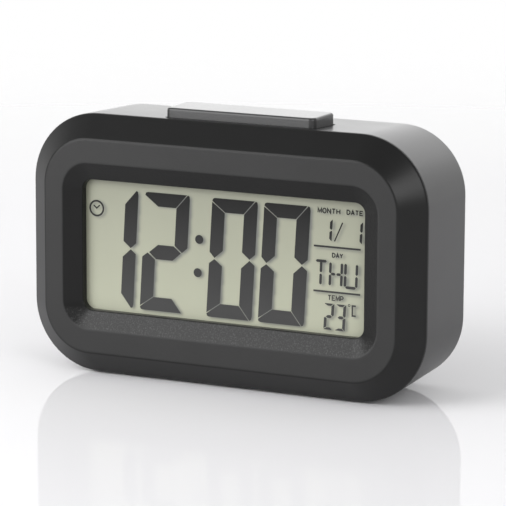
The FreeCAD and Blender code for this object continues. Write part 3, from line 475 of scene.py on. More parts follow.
# %% Finishes
moulded_finishes = {
    "case_plastic": ((0.020, 0.020, 0.0205), 0.30, dict(grain=4200.0, depth=0.06, amount=0.05, IOR=1.45)),
    "bar_plastic": ((0.034, 0.034, 0.0345), 0.20, dict(grain=4500.0, depth=0.04, amount=0.05, IOR=1.5)),
    "button_plastic": ((0.026, 0.026, 0.027), 0.36, dict(grain=4000.0, depth=0.08)),
    "white_plastic": ((0.80, 0.80, 0.78), 0.45, dict(grain=3000.0, depth=0.08)),
    "foot_rubber": ((0.016, 0.016, 0.016), 0.75, dict(grain=3000.0, depth=0.35)),
    "soft_rubber": ((0.52, 0.20, 0.24), 0.6, dict(grain=2500.0, depth=0.15)),
    "board_laminate": ((0.02, 0.16, 0.06), 0.35, dict(grain=1800.0, depth=0.12, specks=0.25)),
    "screw_steel": ((0.20, 0.20, 0.21), 0.38, dict(grain=2600.0, depth=0.12, Metallic=1.0)),
    "bright_can": ((0.62, 0.62, 0.64), 0.25, dict(grain=2600.0, depth=0.06, Metallic=1.0)),
    "contact_nickel": ((0.60, 0.58, 0.54), 0.28, dict(grain=3200.0, depth=0.08, Metallic=1.0)),
    "buzzer_brass": ((0.60, 0.40, 0.16), 0.32, dict(grain=2800.0, depth=0.08, Metallic=1.0)),
    "black_resin": ((0.012, 0.012, 0.012), 0.28, dict(grain=1500.0, depth=0.12)),
    "switch_housing": ((0.014, 0.014, 0.014), 0.5, dict(grain=3000.0, depth=0.12)),
    "switch_stem": ((0.06, 0.06, 0.06), 0.5, dict(grain=3000.0, depth=0.12)),
    "capacitor_sleeve": ((0.02, 0.03, 0.08), 0.3, dict(grain=2600.0, depth=0.05)),
    "lead_jacket": ((0.35, 0.02, 0.02), 0.5, dict(grain=2600.0, depth=0.08)),
    "ribbon_film": ((0.55, 0.55, 0.53), 0.35, dict(grain=2600.0, depth=0.05)),
    "clear_plastic": ((0.78, 0.81, 0.82), 0.15, dict(grain=1200.0, depth=0.02)),
    "lamp_resin": ((0.80, 0.80, 0.72), 0.2, dict(grain=1200.0, depth=0.02)),
    "screen_glass": ((0.60, 0.66, 0.60), 0.08, dict(grain=1200.0, depth=0.01)),
}
finishes = {"bezel_plastic": bezel_material()}
for name, (color, roughness, details) in moulded_finishes.items():
    finishes[name] = moulded(name, color, roughness, **details)

# The cells' and films' plain solids are replaced further on, so any finish serves them.
finishes["cell_jacket"] = finishes["contact_nickel"]
finishes["screen_film"] = finishes["white_plastic"]
for entry in frame["record"]["subparts"]:
    node = frame["nodes"][entry["node"]]
    node.data.materials.clear()
    node.data.materials.append(finishes[entry["material_slot"]])
print("finishes", len(finishes))


# %% [markdown]
# The front frame is a closed profile carried round the clock: rim, chamfer, flat ring, funnel,
# window edge and back again inside. Each profile row gives half width, half height, corner radius
# and depth, so the ring can be wider above than at the sides, as on the real frame.

# %% Front frame
def draft_at(y):
    """How far the side wall has drawn in at depth y: it grows evenly from the chamfer's edge."""
    return draft * np.maximum(0.0, y - edge_y) / (side_end_y - edge_y)


def case_row(inset, y):
    """Profile row of the case at depth y, drawn in by inset."""
    off = inset + draft_at(y)
    return (case_width / 2 - off, case_height / 2 - off, case_corner - off, y)


def window_row(grow, y):
    """Profile row concentric with the window, grown outwards."""
    return (window_half[0] + grow, window_half[1] + grow, window_corner + grow, y)


def case_loops(rows):
    """Upright loops round the case's middle, one for each profile row."""
    return [standing(rounded(a, b, r), y, (0.0, middle_z)) for a, b, r, y in rows]


rim_break = 0.18
edge_soft = 0.55
inner_step = 0.85
skirt_step = 0.2
bezel_rows = soften(
    [
        case_row(rim_break * 2, seam_y),
        case_row(0.0, seam_y),
        case_row(0.0, edge_y),
        case_row(chamfer, front_y),
        window_row(funnel_width, front_y),
        window_row(0.0, front_y + funnel_depth),
        window_row(0.0, screen_y),
        window_row(screen_seat, screen_y),
        window_row(funnel_width, front_y + ring_back),
        case_row(chamfer + inner_step, front_y + ring_back),
        case_row(case_wall + skirt_step, seam_y),
    ],
    [rim_break, edge_soft, edge_soft, 0.45, 0.35, 0.12, 0.0, 0.0, 0.0],
)
bezel = make_piece("bezel_shell", [loft(case_loops(bezel_rows), closed=True)],
                   finishes["bezel_plastic"], "root", ["front_bezel"])

# %% [markdown]
# Ring and funnel are one moulding with the chamfer, so no seam may show between their finishes.
# Each point stores a number, grit, worked out from its distance to the two edges.

# %% Grit of the front frame

def piece_points(piece):
    """Vertex places of a piece in millimetres."""
    flat = np.zeros(len(piece.data.vertices) * 3)
    piece.data.vertices.foreach_get("co", flat)
    return flat.reshape(-1, 3) / MM


def give_attribute(piece, name, values):
    """Stores one number per vertex under a name that a material can read."""
    stored = piece.data.attributes.new(name, "FLOAT", "POINT")
    stored.data.foreach_set("value", values.astype(np.float32))


def rounded_distance(a, b, half_a, half_b, radius):
    """Signed distance to a rounded rectangle.

    It is the length of what passes the corner's centre, minus the radius."""
    over_a, over_b = np.abs(a) - half_a + radius, np.abs(b) - half_b + radius
    outside = np.hypot(np.maximum(over_a, 0.0), np.maximum(over_b, 0.0))
    return outside + np.minimum(np.maximum(over_a, over_b), 0.0) - radius


ring_fade = 0.1
funnel_fade = 0.3
bezel_points = piece_points(bezel)
flat_place = bezel_points[:, 0], bezel_points[:, 2] - middle_z
from_edge = rounded_distance(*flat_place, *case_row(chamfer + ring_fade, front_y)[:3])
from_funnel = rounded_distance(*flat_place, *window_row(funnel_width, front_y)[:3])
on_ring = np.clip(-from_edge / ring_fade, 0.0, 1.0)
in_funnel = np.clip(0.5 - from_funnel / funnel_fade, 0.0, 1.0)
give_attribute(bezel, "grit", 0.5 * on_ring + 0.5 * in_funnel)
print("points on ring and funnel", int((on_ring > 0.5).sum()), int((in_funnel > 0.5).sum()))


# %% [markdown]
# The rear shell is a drafted tub whose sides roll into a flat back. Its flat faces are cut by
# holes, so they are triangulated between loops, and each hole's wall is a loft from loop to loop.

# %% Rear shell: places of its openings
bar_low, bar_high = low_high("snooze_bar")
bar_half = np.array([25.75, (bar_high[1] - bar_low[1]) / 2])
bar_middle = np.array([(bar_low[0] + bar_high[0]) / 2, (bar_low[1] + bar_high[1]) / 2])
bar_corner = 2.3
running_gap = 0.3
hole_break = 0.25
button_names = ("mode", "set", "up", "down")
button_boxes = [low_high(name + "_switch_stem") for name in button_names]
button_places = [((low[0] + high[0]) / 2, (low[2] + high[2]) / 2) for low, high in button_boxes]
button_radius = 3.5
screw_low, screw_high = low_high("case_screws")
head_radius = 2.6
head_height = 1.7
screw_x = screw_high[0] - head_radius
screw_rise = (screw_high[2] - screw_low[2]) / 2 - head_radius
screw_places = [(sx * screw_x, middle_z + sz * screw_rise) for sx in (-1, 1) for sz in (-1, 1)]
head_seat_y = screw_high[1] - head_height
counterbore = 3.0
tower = 3.95
screw_bore = 1.35
seat_thickness = 3.0
slide_low, slide_high = low_high("alarm_switch_cap")
slide_travel = 3.0
slide_middle = ((slide_low[0] + slide_high[0] + slide_travel) / 2, (slide_low[2] + slide_high[2]) / 2)
slot_half = np.array([4.8, 2.3])
slot_corner = 0.6
buzzer_low, buzzer_high = low_high("buzzer")
buzzer_middle = ((buzzer_low[0] + buzzer_high[0]) / 2, (buzzer_low[2] + buzzer_high[2]) / 2)
sound_half = np.array([4.5, 0.7])
sound_corner = 0.69
sound_pitch = 2.8
sound_places = [(buzzer_middle[0], buzzer_middle[1] + sound_pitch * k) for k in (-1.5, -0.5, 0.5, 1.5)]
recess_rise = 18.55
recess_half = np.array([(door_high[0] - door_low[0]) / 2 + running_gap, recess_rise])
bay_middle_z = 26.25
bay_wall = 1.6
recess_corner = 0.9
vent_half = np.array([0.6, 4.5])
vent_corner = 0.59
vent_x = 20.0
vent_pitch = 3.0
vent_middle_y = low_high("main_board")[1][1] + vent_half[1]
vent_places = [(vent_x + vent_pitch * k, vent_middle_y) for k in (-2, -1, 0, 1, 2)]
groups_of_holes = (button_places, sound_places, vent_places, screw_places)
print("buttons, sound slots, vents, screws", [len(places) for places in groups_of_holes])

# %% [markdown]
# A moulded hole has a slightly broken edge outside. So the outline of each opening is a function
# of how far it is grown: grown at the face, as it is within the wall.

# %% Rear shell: walls of its holes
def wall_z(y, side, inset=0.0):
    """Height of the top (side 1) or floor (side -1) at depth y: middle plus the drafted half height."""
    return middle_z + side * (case_height / 2 - inset - draft_at(y))


def through(loop, centre):
    """Wall of a hole through the back: a small flare at the face, then straight in."""
    rows = ((hole_break, back_y), (0.0, back_y - hole_break), (0.0, inner_back_y))
    return loft([standing(loop(grow), y, centre) for grow, y in rows])


def grown(grow, half, corner, steps):
    """Rounded opening whose sides have all moved outwards by grow."""
    return rounded(half[0] + grow, half[1] + grow, corner + grow, steps)


def button_hole(grow):
    """Round hole of one button."""
    return circle(button_radius + running_gap + grow)


def back_openings():
    """Every opening in the back wall: an outline that can be grown, and its centre."""
    slide = partial(grown, half=slot_half, corner=slot_corner, steps=6)
    sound = partial(grown, half=sound_half, corner=sound_corner, steps=8)
    recess = partial(grown, half=recess_half, corner=recess_corner, steps=8)
    found = [(button_hole, place) for place in button_places] + [(slide, slide_middle)]
    return found + [(sound, place) for place in sound_places] + [(recess, (0.0, bay_middle_z))]


# %% [markdown]
# Side walls and the roll to the back come from one list of profile rows. Top wall and floor need
# holes, so their straight middle strips are left out of the loft and laid in as flat faces.

# %% Rear shell: surfaces
def side_faces(rows, flats):
    """Loft of the case's rows without the straight top and floor of the intervals in flats."""
    points, faces = loft(case_loops(rows))
    count = 4 * (corner_steps + 1)
    top, floor = corner_steps, 3 * (corner_steps + 1) - 1
    left_out = {interval * count + j for interval in flats for j in (top, floor)}
    return points, [face for index, face in enumerate(faces) if index not in left_out]


def on_wall(points, side, inset):
    """Flat points (x, y) raised to the top or floor."""
    return np.stack([points[:, 0], points[:, 1], wall_z(points[:, 1], side, inset)], 1)


def drafted_flat(side, inset, y0, y1, holes):
    """Top or floor between the corner rounds, from depth y0 to y1, with its holes."""
    half = case_width / 2 - case_corner
    corners = np.array([(-half, y0), (half, y0), (half, y1), (-half, y1)])
    return holed(corners, holes, partial(on_wall, side=side, inset=inset))


def wall_hole(loop, centre, side):
    """Wall of a hole through the top or floor: flare outside, then straight to the inner face."""
    rows = ((hole_break, 0.0), (0.0, hole_break), (0.0, case_wall))
    return loft([on_wall(loop(grow) + np.array(centre), side, inset) for grow, inset in rows])


def roll_row(angle):
    """Profile row on the round between side and back, a share of a quarter turn along."""
    off = draft + back_round * (1 - math.cos(angle))
    depth = side_end_y + back_round * math.sin(angle)
    return (case_width / 2 - off, case_height / 2 - off, case_corner - off, depth)


seam_edge = [case_row(2 * rim_break, seam_y), case_row(0.0, seam_y), case_row(0.0, side_end_y)]
seam_rows = [seam_edge[0]] + list(soften(seam_edge, [rim_break])[1:-1])
outer_rows = seam_rows + [roll_row(angle) for angle in np.linspace(0.0, math.pi / 2, 11)]
inner_rows = [case_row(case_wall, seam_y), case_row(case_wall, side_end_y)]
inner_rows.append((*inner_rows[-1][:3], inner_back_y))
straight = len(seam_rows) - 1
straight_y = seam_rows[-1][3]


def bar_loop(grow):
    """Opening of the snooze bar, grown by the running gap and more."""
    room = running_gap + grow
    return rounded(bar_half[0] + room, bar_half[1] + room, bar_corner + room, 10)


def top_holes(grow):
    """The snooze bar's opening in the top wall."""
    return [bar_loop(grow) + bar_middle]


def floor_holes(grow):
    """The vent slots in the floor."""
    return [vent_loop(grow) + np.array(place) for place in vent_places]


vent_loop = partial(grown, half=vent_half, corner=vent_corner, steps=6)
shell_parts = [side_faces(outer_rows, [straight]), side_faces(inner_rows, [0])]
shell_parts.append(loft([case_loops(outer_rows[:1])[0], case_loops(inner_rows[:1])[0]]))
for side, holes in ((1, top_holes), (-1, floor_holes)):
    shell_parts.append(drafted_flat(side, 0.0, straight_y, side_end_y, holes(hole_break)))
    shell_parts.append(drafted_flat(side, case_wall, seam_y, side_end_y, holes(0.0)))
shell_parts.append(wall_hole(bar_loop, bar_middle, 1))
shell_parts += [wall_hole(vent_loop, place, -1) for place in vent_places]

# %% [markdown]
# The back is one flat face outside and one inside, each with every opening cut from it. Each
# screw runs down a tower whose wall is a loft of circles: counterbore, seat, bore and outside.

# %% Rear shell: back wall and towers
openings = back_openings()
back_faces = (
    (outer_rows[-1], back_y, hole_break, counterbore + hole_break),
    (inner_rows[-1], inner_back_y, 0.0, tower),
)
for row, y, grow, screw_hole in back_faces:
    holes = [loop(grow) + np.array(place) for loop, place in openings]
    holes += [circle(screw_hole) + np.array(place) for place in screw_places]
    outline = rounded(*row[:3]) + [0, middle_z]
    shell_parts.append(holed(outline, holes, partial(standing, y=y)))
shell_parts += [through(loop, place) for loop, place in openings]
seat_end_y = head_seat_y - seat_thickness
tower_rows = [(counterbore + hole_break, back_y), (counterbore, back_y - hole_break),
              (counterbore, head_seat_y), (screw_bore, head_seat_y), (screw_bore, seat_end_y),
              (tower, seat_end_y), (tower, inner_back_y)]
for place in screw_places:
    shell_parts.append(loft([standing(circle(r), y, place) for r, y in tower_rows]))
make_piece("case_shell", shell_parts, finishes["case_plastic"], "root", ["rear_case"])

# %% [markdown]
# Behind the door the shell carries a tub for three cells. Seen from its end it is a row of
# scallops: the depth at each height is the deepest of a flat floor and three circles.

# %% Battery tub
cells_low, cells_high = low_high("battery_cells")
cell_y = (cells_low[1] + cells_high[1]) / 2
cell_radius = (cells_high[1] - cells_low[1]) / 2
cell_pitch = 11.2
cell_levels = bay_middle_z + cell_pitch * np.array([-1.0, 0.0, 1.0])
bay_half_length = recess_half[0] - bay_wall
bay_half_height = recess_half[1] - bay_wall
door_thickness = 2.0
door_inner_y = back_y - door_thickness
saddle_room = 0.3
saddle_depth = 2.2
saddle_floor = cell_y - saddle_depth


def scallop_y(z, radius, floor):
    """Depth of the scalloped floor at height z.

    It is the least of the flat floor and each circle's near side."""
    off = z[:, None] - cell_levels[None, :]
    near = cell_y - np.sqrt(np.maximum(radius ** 2 - off ** 2, 0.0))
    near = np.where(np.abs(off) < radius, near, floor)
    return np.minimum(floor, near.min(1))


def tub_section(half_height, radius, floor, steps=121):
    """Section of the tub as (y, z) points, open at the door's side."""
    z = np.linspace(bay_middle_z - half_height, bay_middle_z + half_height, steps)
    y = scallop_y(z, radius, floor)
    ends = np.array([[door_inner_y, z[0]], [door_inner_y, z[-1]]])
    return np.vstack([ends[:1], np.stack([y, z], 1), ends[1:]])


def along_x(section, x):
    """Section (y, z) placed at x."""
    return np.stack([np.full(len(section), x), section[:, 0], section[:, 1]], 1)


def open_sheet(first, second):
    """Quads between two open rows of points."""
    count = len(first)
    j = np.arange(count - 1)
    return np.vstack([first, second]), np.stack([j, j + 1, j + 1 + count, j + count], 1).tolist()


inside = tub_section(bay_half_height, cell_radius + saddle_room, saddle_floor)
outside = tub_section(recess_half[1], cell_radius + saddle_room + bay_wall, saddle_floor - bay_wall)
tub_parts = []
for section, half in ((inside, bay_half_length), (outside, recess_half[0])):
    tub_parts.append(open_sheet(along_x(section, -half), along_x(section, half)))
    for x in (-half, half):
        tub_parts.append(holed(section, [], partial(along_x, x=x)))
rim = [np.array([(-a, -b), (a, -b), (a, b), (-a, b)]) + [0, bay_middle_z]
       for a, b in ((recess_half[0], recess_half[1]), (bay_half_length, bay_half_height))]
tub_parts.append(holed(rim[0], rim[1:], partial(standing, y=door_inner_y)))
make_piece("battery_tub", tub_parts, finishes["case_plastic"], "root")

# %% [markdown]
# A round cell is a turned shape: it needs only its radius at each place along the axis. The
# jacket's darker band begins between two rings that lie close together, so its edge stays sharp.

# %% Cells
jacket_color = (0.26, 0.27, 0.29)
band_color = (0.045, 0.047, 0.052)
jacket_roughness = 0.28


def jacket_material():
    """Cell jacket: a plain grey sleeve, darker where the band attribute marks its positive end."""
    finish, tree, shader, place = start_finish("cell_jacket", jacket_color, jacket_roughness, Metallic=0.3)
    mixed = blend(tree, attribute(tree, "band"), (*jacket_color, 1.0), (*band_color, 1.0))
    tree.links.new(mixed, shader.inputs["Base Color"])
    uneven = effect(tree, mottle, place)["Factor"]
    tree.links.new(calc(tree, "MULTIPLY", uneven, jacket_roughness), shader.inputs["Roughness"])
    return finish


contact_thickness = 0.4
bay_end = bay_half_length - contact_thickness
contact_dimple = 0.5
cell_length = 44.5
knob_radius = 1.9
knob_rise = 0.8
shoulder_radius = 4.4
end_recess = 0.15
ways = (1.0, -1.0, 1.0)
band_ends = (12.0, 12.3)
cell_profile = soften(
    [(0.0, 0.0), (knob_radius, 0.0), (knob_radius, knob_rise), (shoulder_radius, knob_rise),
     (cell_radius, knob_rise + 0.2), (cell_radius, band_ends[0]), (cell_radius, band_ends[1]),
     (cell_radius, cell_length - 0.2), (shoulder_radius - 0.1, cell_length),
     (3.6, cell_length - end_recess), (0.0, cell_length - end_recess)],
    [0.25, 0.1, 0.1, 0.15, 0.0, 0.0, 0.3, 0.3, 0.1], 3)
cell_parts = []
for level, way in zip(cell_levels, ways):
    tip = way * (bay_end - contact_dimple)
    cell_parts.append(turned(cell_profile, (tip, cell_y, level), (-way, 0.0, 0.0), 40))
cells = make_piece("cells_dressed", cell_parts, jacket_material(), "root",
                   ["battery_cells"])
cell_points = piece_points(cells)
nearest = np.argmin(np.abs(cell_points[:, 2][:, None] - cell_levels[None, :]), 1)
from_tip = bay_end - contact_dimple - cell_points[:, 0] * np.array(ways)[nearest]
band = np.clip((band_ends[1] - from_tip) / (band_ends[1] - band_ends[0]), 0, 1)
give_attribute(cells, "band", band)

# %% [markdown]
# Each cell is pressed by a conical spring. A cone keeps its turns clear of one another when it
# is squeezed flat, and it is made as one circle carried along a helix whose radius shrinks.

# %% Springs
spring_wire = 0.6
spring_turns = 2.25
spring_lead_turn = 25.0
spring_radii = (3.6, 2.2)
spring_room = 5.0
spring_seat = 0.4
spring_gather = 0.85
spring_steps = 110


def tube(centre_line, radius, sides=10):
    """Round tube on a centre line: a circle in the plane across the line's direction at each point."""
    way = np.gradient(centre_line, axis=0)
    way /= np.linalg.norm(way, axis=1)[:, None]
    across = np.cross(way, np.array([1.0, 0.02, 0.01]))
    across /= np.linalg.norm(across, axis=1)[:, None]
    other = np.cross(way, across)
    ring = circle(radius, sides)
    spokes = ring[None, :, :1] * across[:, None] + ring[None, :, 1:] * other[:, None]
    grid = centre_line[:, None] + spokes
    points, faces = loft(grid)
    last = len(grid) * sides
    return points, faces + [list(range(sides)), list(range(last - sides, last))]


spring_parts = []
for level, way in zip(cell_levels, ways):
    share = np.linspace(0.0, 1.0, spring_steps)
    whole_turn = spring_turns * 2 * math.pi + math.radians(spring_lead_turn)
    angle = np.radians(-90.0) + share * whole_turn
    radius = spring_radii[0] + (spring_radii[1] - spring_radii[0]) * share
    rise = spring_room - running_gap - spring_wire / 2 - spring_seat
    lift = spring_seat + rise * share ** spring_gather
    round_axis = cell_y + radius * np.cos(angle), level + radius * np.sin(angle)
    line = np.stack([-way * (bay_end - lift), *round_axis], 1)
    spring_parts.append(tube(line, spring_wire / 2))
make_piece("springs_dressed", spring_parts, finishes["contact_nickel"], "root",
           ["battery_springs"])

# %% [markdown]
# Each case screw lies deep in its counterbore, where only the cross of its head catches light.
# The cross is a plus-shaped hole in the head's face, with walls that narrow towards its floor.

# %% Case screws with a cross recess
head_flat = 1.7
cross_arm = 1.35
cross_width = 0.32
cross_depth = 0.9
cross_taper = 0.8
shank_radius = 1.25
shank_length = 10.0


def cross_loop():
    """Twelve corners of a plus sign."""
    a, w = cross_arm, cross_width
    return np.array([(a, -w), (a, w), (w, w), (w, a), (-w, a), (-w, w),
                     (-a, w), (-a, -w), (-w, -w), (-w, -a), (w, -a), (w, -w)])


screw_parts = []
face_y = head_seat_y + head_height
floor_y = face_y - cross_depth
head_rows = soften([(0.0, head_seat_y), (head_radius, head_seat_y), (head_radius, face_y),
                    (head_flat, face_y)], [0.05, 0.5])[1:]
shank = [(0.0, head_seat_y - shank_length), (shank_radius - 0.15, head_seat_y - shank_length),
         (shank_radius, head_seat_y - shank_length + 0.4), (shank_radius, head_seat_y), (0.0, head_seat_y)]
for place in screw_places:
    centre = np.array(place)
    cross, narrow = cross_loop(), cross_loop() * cross_taper
    screw_parts.append(lid(standing(circle(head_rows[0][0], 40), head_seat_y, place)))
    screw_parts.append(loft([standing(circle(r, 40), y, place) for r, y in head_rows]))
    screw_parts.append(holed(circle(head_flat, 40) + centre, [cross + centre], partial(standing, y=face_y)))
    screw_parts.append(loft([standing(cross, face_y, place), standing(narrow, floor_y, place)]))
    screw_parts.append(holed(narrow + centre, [], partial(standing, y=floor_y)))
    screw_parts.append(turned(shank, (place[0], 0.0, place[1]), (0.0, 1.0, 0.0), 24))
make_piece("screws_dressed", screw_parts, finishes["screw_steel"], "root", ["case_screws"])

# %% [markdown]
# The snooze bar is a hollow cap that slides in the top wall. Its profile goes up outside, over
# the crown and back down inside, so one loft makes both its outer and its inner skin.

# %% Snooze bar
bar_wall = 1.8
crown_soft = 0.85
bar_draft = 0.25
bar_inner_corner = 0.5
hollow_half = bar_half - bar_wall
crown_half = bar_half - bar_draft
flat_half = crown_half - 2 * crown_soft
bar_rows = soften(
    [
        (*hollow_half, bar_inner_corner, bar_high[2] - bar_wall),
        (*hollow_half, bar_inner_corner, bar_low[2]),
        (*bar_half, bar_corner, bar_low[2]),
        (*crown_half, bar_corner - bar_draft, bar_high[2]),
        (*flat_half, bar_corner - bar_draft - 2 * crown_soft, bar_high[2]),
    ],
    [0.0, 0.1, crown_soft], 5)
bar_loops = [lying(rounded(a, b, r, 14), z, bar_middle) for a, b, r, z in bar_rows]
make_piece("snooze_cap", [loft(bar_loops), lid(bar_loops[0]), lid(bar_loops[-1])],
           finishes["bar_plastic"], "snooze_bar", ["snooze_bar"])

# %% [markdown]
# The four buttons are turned: a pusher towards the switch, a flange that keeps the button
# behind the wall, and a cap whose face is dished for a fingertip.

# %% Buttons
flange_y = low_high("mode_button")[0][1]
cap_y = low_high("mode_button")[1][1]
stem_y = low_high("mode_switch_stem")[1][1]
pusher_radius = 1.6
pusher_end_y = flange_y + 0.6
flange_radius = button_radius + 1.1
flange_end_y = flange_y + 1.5
rim_width = 0.7
dish_slope = 0.6
dish_y = cap_y - 0.25
button_profile = soften(
    [(0.0, stem_y), (pusher_radius, stem_y), (pusher_radius, pusher_end_y),
     (flange_radius, pusher_end_y), (flange_radius, flange_end_y), (button_radius, flange_end_y),
     (button_radius, cap_y), (button_radius - rim_width, cap_y),
     (button_radius - rim_width - dish_slope, dish_y), (0.0, dish_y)],
    [0.0, 0.0, 0.0, 0.1, 0.0, 0.35, 0.15, 0.3], 4)
for name, place in zip(button_names, button_places):
    cap = turned(button_profile, (place[0], 0.0, place[1]), (0.0, 1.0, 0.0))
    make_piece(name + "_cap", [cap], finishes["button_plastic"], name + "_button",
               [name + "_button"])

# %% [markdown]
# The slide's cap is a plate behind the wall with a thumb piece through the slot. Four ribs give
# the thumb its grip. All are blocks with a softened edge, so one function makes them.

# %% Slide switch cap
thumb_half = (3.0, 2.0)
thumb_middle = ((slide_low[0] + slide_high[0]) / 2, (slide_low[2] + slide_high[2]) / 2)
rib_rise = 0.4
rib_half = (0.3, 1.2)
rib_pitch = 1.2
rib_root = 0.05
thumb_y = slide_high[1] - rib_rise
plate_half = (slide_high[0] - slide_low[0]) / 2, (slide_high[2] - slide_low[2]) / 2
plate_end_y = slide_low[1] + 0.9
least_corner = 0.02


def block(half_a, half_b, corner, y0, y1, centre, soft=0.15, steps=6):
    """Closed block with a rounded outer face: straight sides, then a softened edge."""
    inner = half_a - 2 * soft, half_b - 2 * soft, max(corner - 2 * soft, least_corner)
    rows = soften([(half_a, half_b, corner, y0), (half_a, half_b, corner, y1), (*inner, y1)], [soft], 3)
    loops = [standing(rounded(a, b, max(r, least_corner), steps), y, centre) for a, b, r, y in rows]
    return [loft(loops), lid(loops[0]), lid(loops[-1])]


slide_parts = block(*plate_half, 0.4, slide_low[1], plate_end_y, thumb_middle)
slide_parts += block(*thumb_half, 0.8, plate_end_y, thumb_y, thumb_middle)
for k in (-1.5, -0.5, 0.5, 1.5):
    rib_middle = (thumb_middle[0] + rib_pitch * k, thumb_middle[1])
    slide_parts += block(*rib_half, 0.25, thumb_y - rib_root, slide_high[1], rib_middle, 0.1)
make_piece("slide_cap", slide_parts, finishes["button_plastic"], "alarm_switch",
           ["alarm_switch_cap"])

# %% [markdown]
# The battery door is a thin panel with a springy tongue between two slits above, and two tabs
# below that it turns on. Its outline is a rounded rectangle with the slits cut into its top.

# %% Battery door
door_half = np.array([(door_high[0] - door_low[0]) / 2, recess_half[1] - running_gap])
door_corner = 0.6
tongue_half = 6.0
slit = 1.0
slit_length = 9.0
tab_half = 3.5
tab_x = 16.0
tab_low = door_low[2]
tab_rise = 4.0
tab_end_y = door_low[1] + 1.3
neck_span = (2.4, 3.9)
door_soft = 0.22
grip_half = (4.5, 0.4)
grip_corner = 0.39
grip_drop = 2.0
grip_pitch = 1.6
grip_depth = 0.8
rib_reach = 19.4
rib_width = 0.5


def door_outline(inset):
    """Door's outline with the two slits beside its tongue, drawn in by inset."""
    a, b = door_half - inset
    flat = rounded(a, b, door_corner, 5)
    top = bay_middle_z + b
    deep = bay_middle_z + door_half[1] - slit_length
    notch = []
    for side in (1, -1):
        near, far = side * (tongue_half + slit + inset), side * (tongue_half - inset)
        pair = [(near, top), (near, deep - inset), (far, deep - inset), (far, top)]
        notch += pair if side == 1 else pair[::-1]
    flat = flat + [0, bay_middle_z]
    return np.vstack([flat[:6], notch, flat[6:]])


def prism(low_x, high_x, low_z, high_z, y0, y1):
    """Plain block between two depths."""
    corners = np.array([(low_x, low_z), (high_x, low_z), (high_x, high_z), (low_x, high_z)])
    near, far = standing(corners, y0), standing(corners, y1)
    return [loft([near, far]), lid(near), lid(far)]


door_edge = ((0.0, door_inner_y), (0.0, back_y - door_soft), (door_soft * 0.3, back_y - door_soft * 0.3),
             (door_soft, back_y))
grip_top = bay_middle_z + door_half[1] - grip_drop
grips = [rounded(*grip_half, grip_corner, 5) + [0, grip_top - grip_pitch * k] for k in range(3)]
door_parts = [
    holed(door_outline(0.0), [], partial(standing, y=door_inner_y)),
    loft([standing(door_outline(inset), y) for inset, y in door_edge]),
    holed(door_outline(door_soft), grips, partial(standing, y=back_y)),
]
for grip in grips:
    door_parts.append(loft([standing(grip, back_y), standing(grip, back_y - grip_depth)]))
    door_parts.append(lid(standing(grip, back_y - grip_depth)))
for middle in (-tab_x, tab_x):
    sides = middle - tab_half, middle + tab_half
    door_parts += prism(*sides, tab_low, tab_low + tab_rise, door_low[1], tab_end_y)
    door_parts += prism(*sides, *(tab_low + rise for rise in neck_span), tab_end_y, door_inner_y)
for level in cell_levels:
    rib_y = door_inner_y - rib_width
    door_parts += prism(-rib_reach, rib_reach, level - rib_width, level + rib_width, rib_y, door_inner_y)
make_piece("door_panel", door_parts, finishes["case_plastic"], "battery_door",
           ["battery_door"])

# %% [markdown]
# Four oblong rubber pads carry the clock. Each has a softened lower edge and reaches a little
# way up into its pocket, so that no gap shows under the drafted floor.

# %% Rubber feet
foot_low, foot_high = low_high("rubber_feet")
foot_half = np.array([7.0, 3.0])
foot_corner = 1.6
foot_edge = 0.6
foot_seat = 0.2
foot_x = foot_high[0] - foot_half[0]
foot_depths = (foot_low[1] + foot_half[1], foot_high[1] - foot_half[1])
foot_parts = []
for x in (-foot_x, foot_x):
    for y in foot_depths:
        top = float(wall_z(np.array(y), -1)) + foot_seat
        rows = soften([(*(foot_half - foot_edge), 1.2, 0.0), (*foot_half, foot_corner, 0.0),
                       (*foot_half, foot_corner, top)], [0.25])
        loops = [lying(rounded(a, b, r, 6), z, (x, y)) for a, b, r, z in rows]
        foot_parts += [loft(loops), lid(loops[0]), lid(loops[-1])]
make_piece("feet_dressed", foot_parts, finishes["foot_rubber"], "root", ["rubber_feet"])

# %% [markdown]
# The screen's figures are thin raised shapes on the film. A seven-segment digit is built from
# its width, half height and stroke; each segment is drawn in a little, which leaves the fine
# light lines between neighbours. Sizes here come from the screen in the photograph.

# %% Screen figures
slant = 0.056
digit_middle_z = 41.15
figures = []


def drawn_in(polygon, amount):
    """Polygon with every edge moved inwards by amount.

    Neighbouring shifted edges meet in the new corners."""
    p = np.asarray(polygon, float)
    area = np.sum(p[:, 0] * np.roll(p[:, 1], -1) - np.roll(p[:, 0], -1) * p[:, 1])
    p = p if area > 0 else p[::-1]
    edge = np.roll(p, -1, 0) - p
    edge /= np.linalg.norm(edge, axis=1)[:, None]
    normal = np.stack([-edge[:, 1], edge[:, 0]], 1)
    before_edge, before_normal = np.roll(edge, 1, 0), np.roll(normal, 1, 0)
    cross = before_edge[:, 0] * edge[:, 1] - before_edge[:, 1] * edge[:, 0]
    shift = normal - before_normal
    reach = (shift[:, 0] * edge[:, 1] - shift[:, 1] * edge[:, 0]) / cross
    return p + amount * (before_normal + before_edge * reach[:, None])


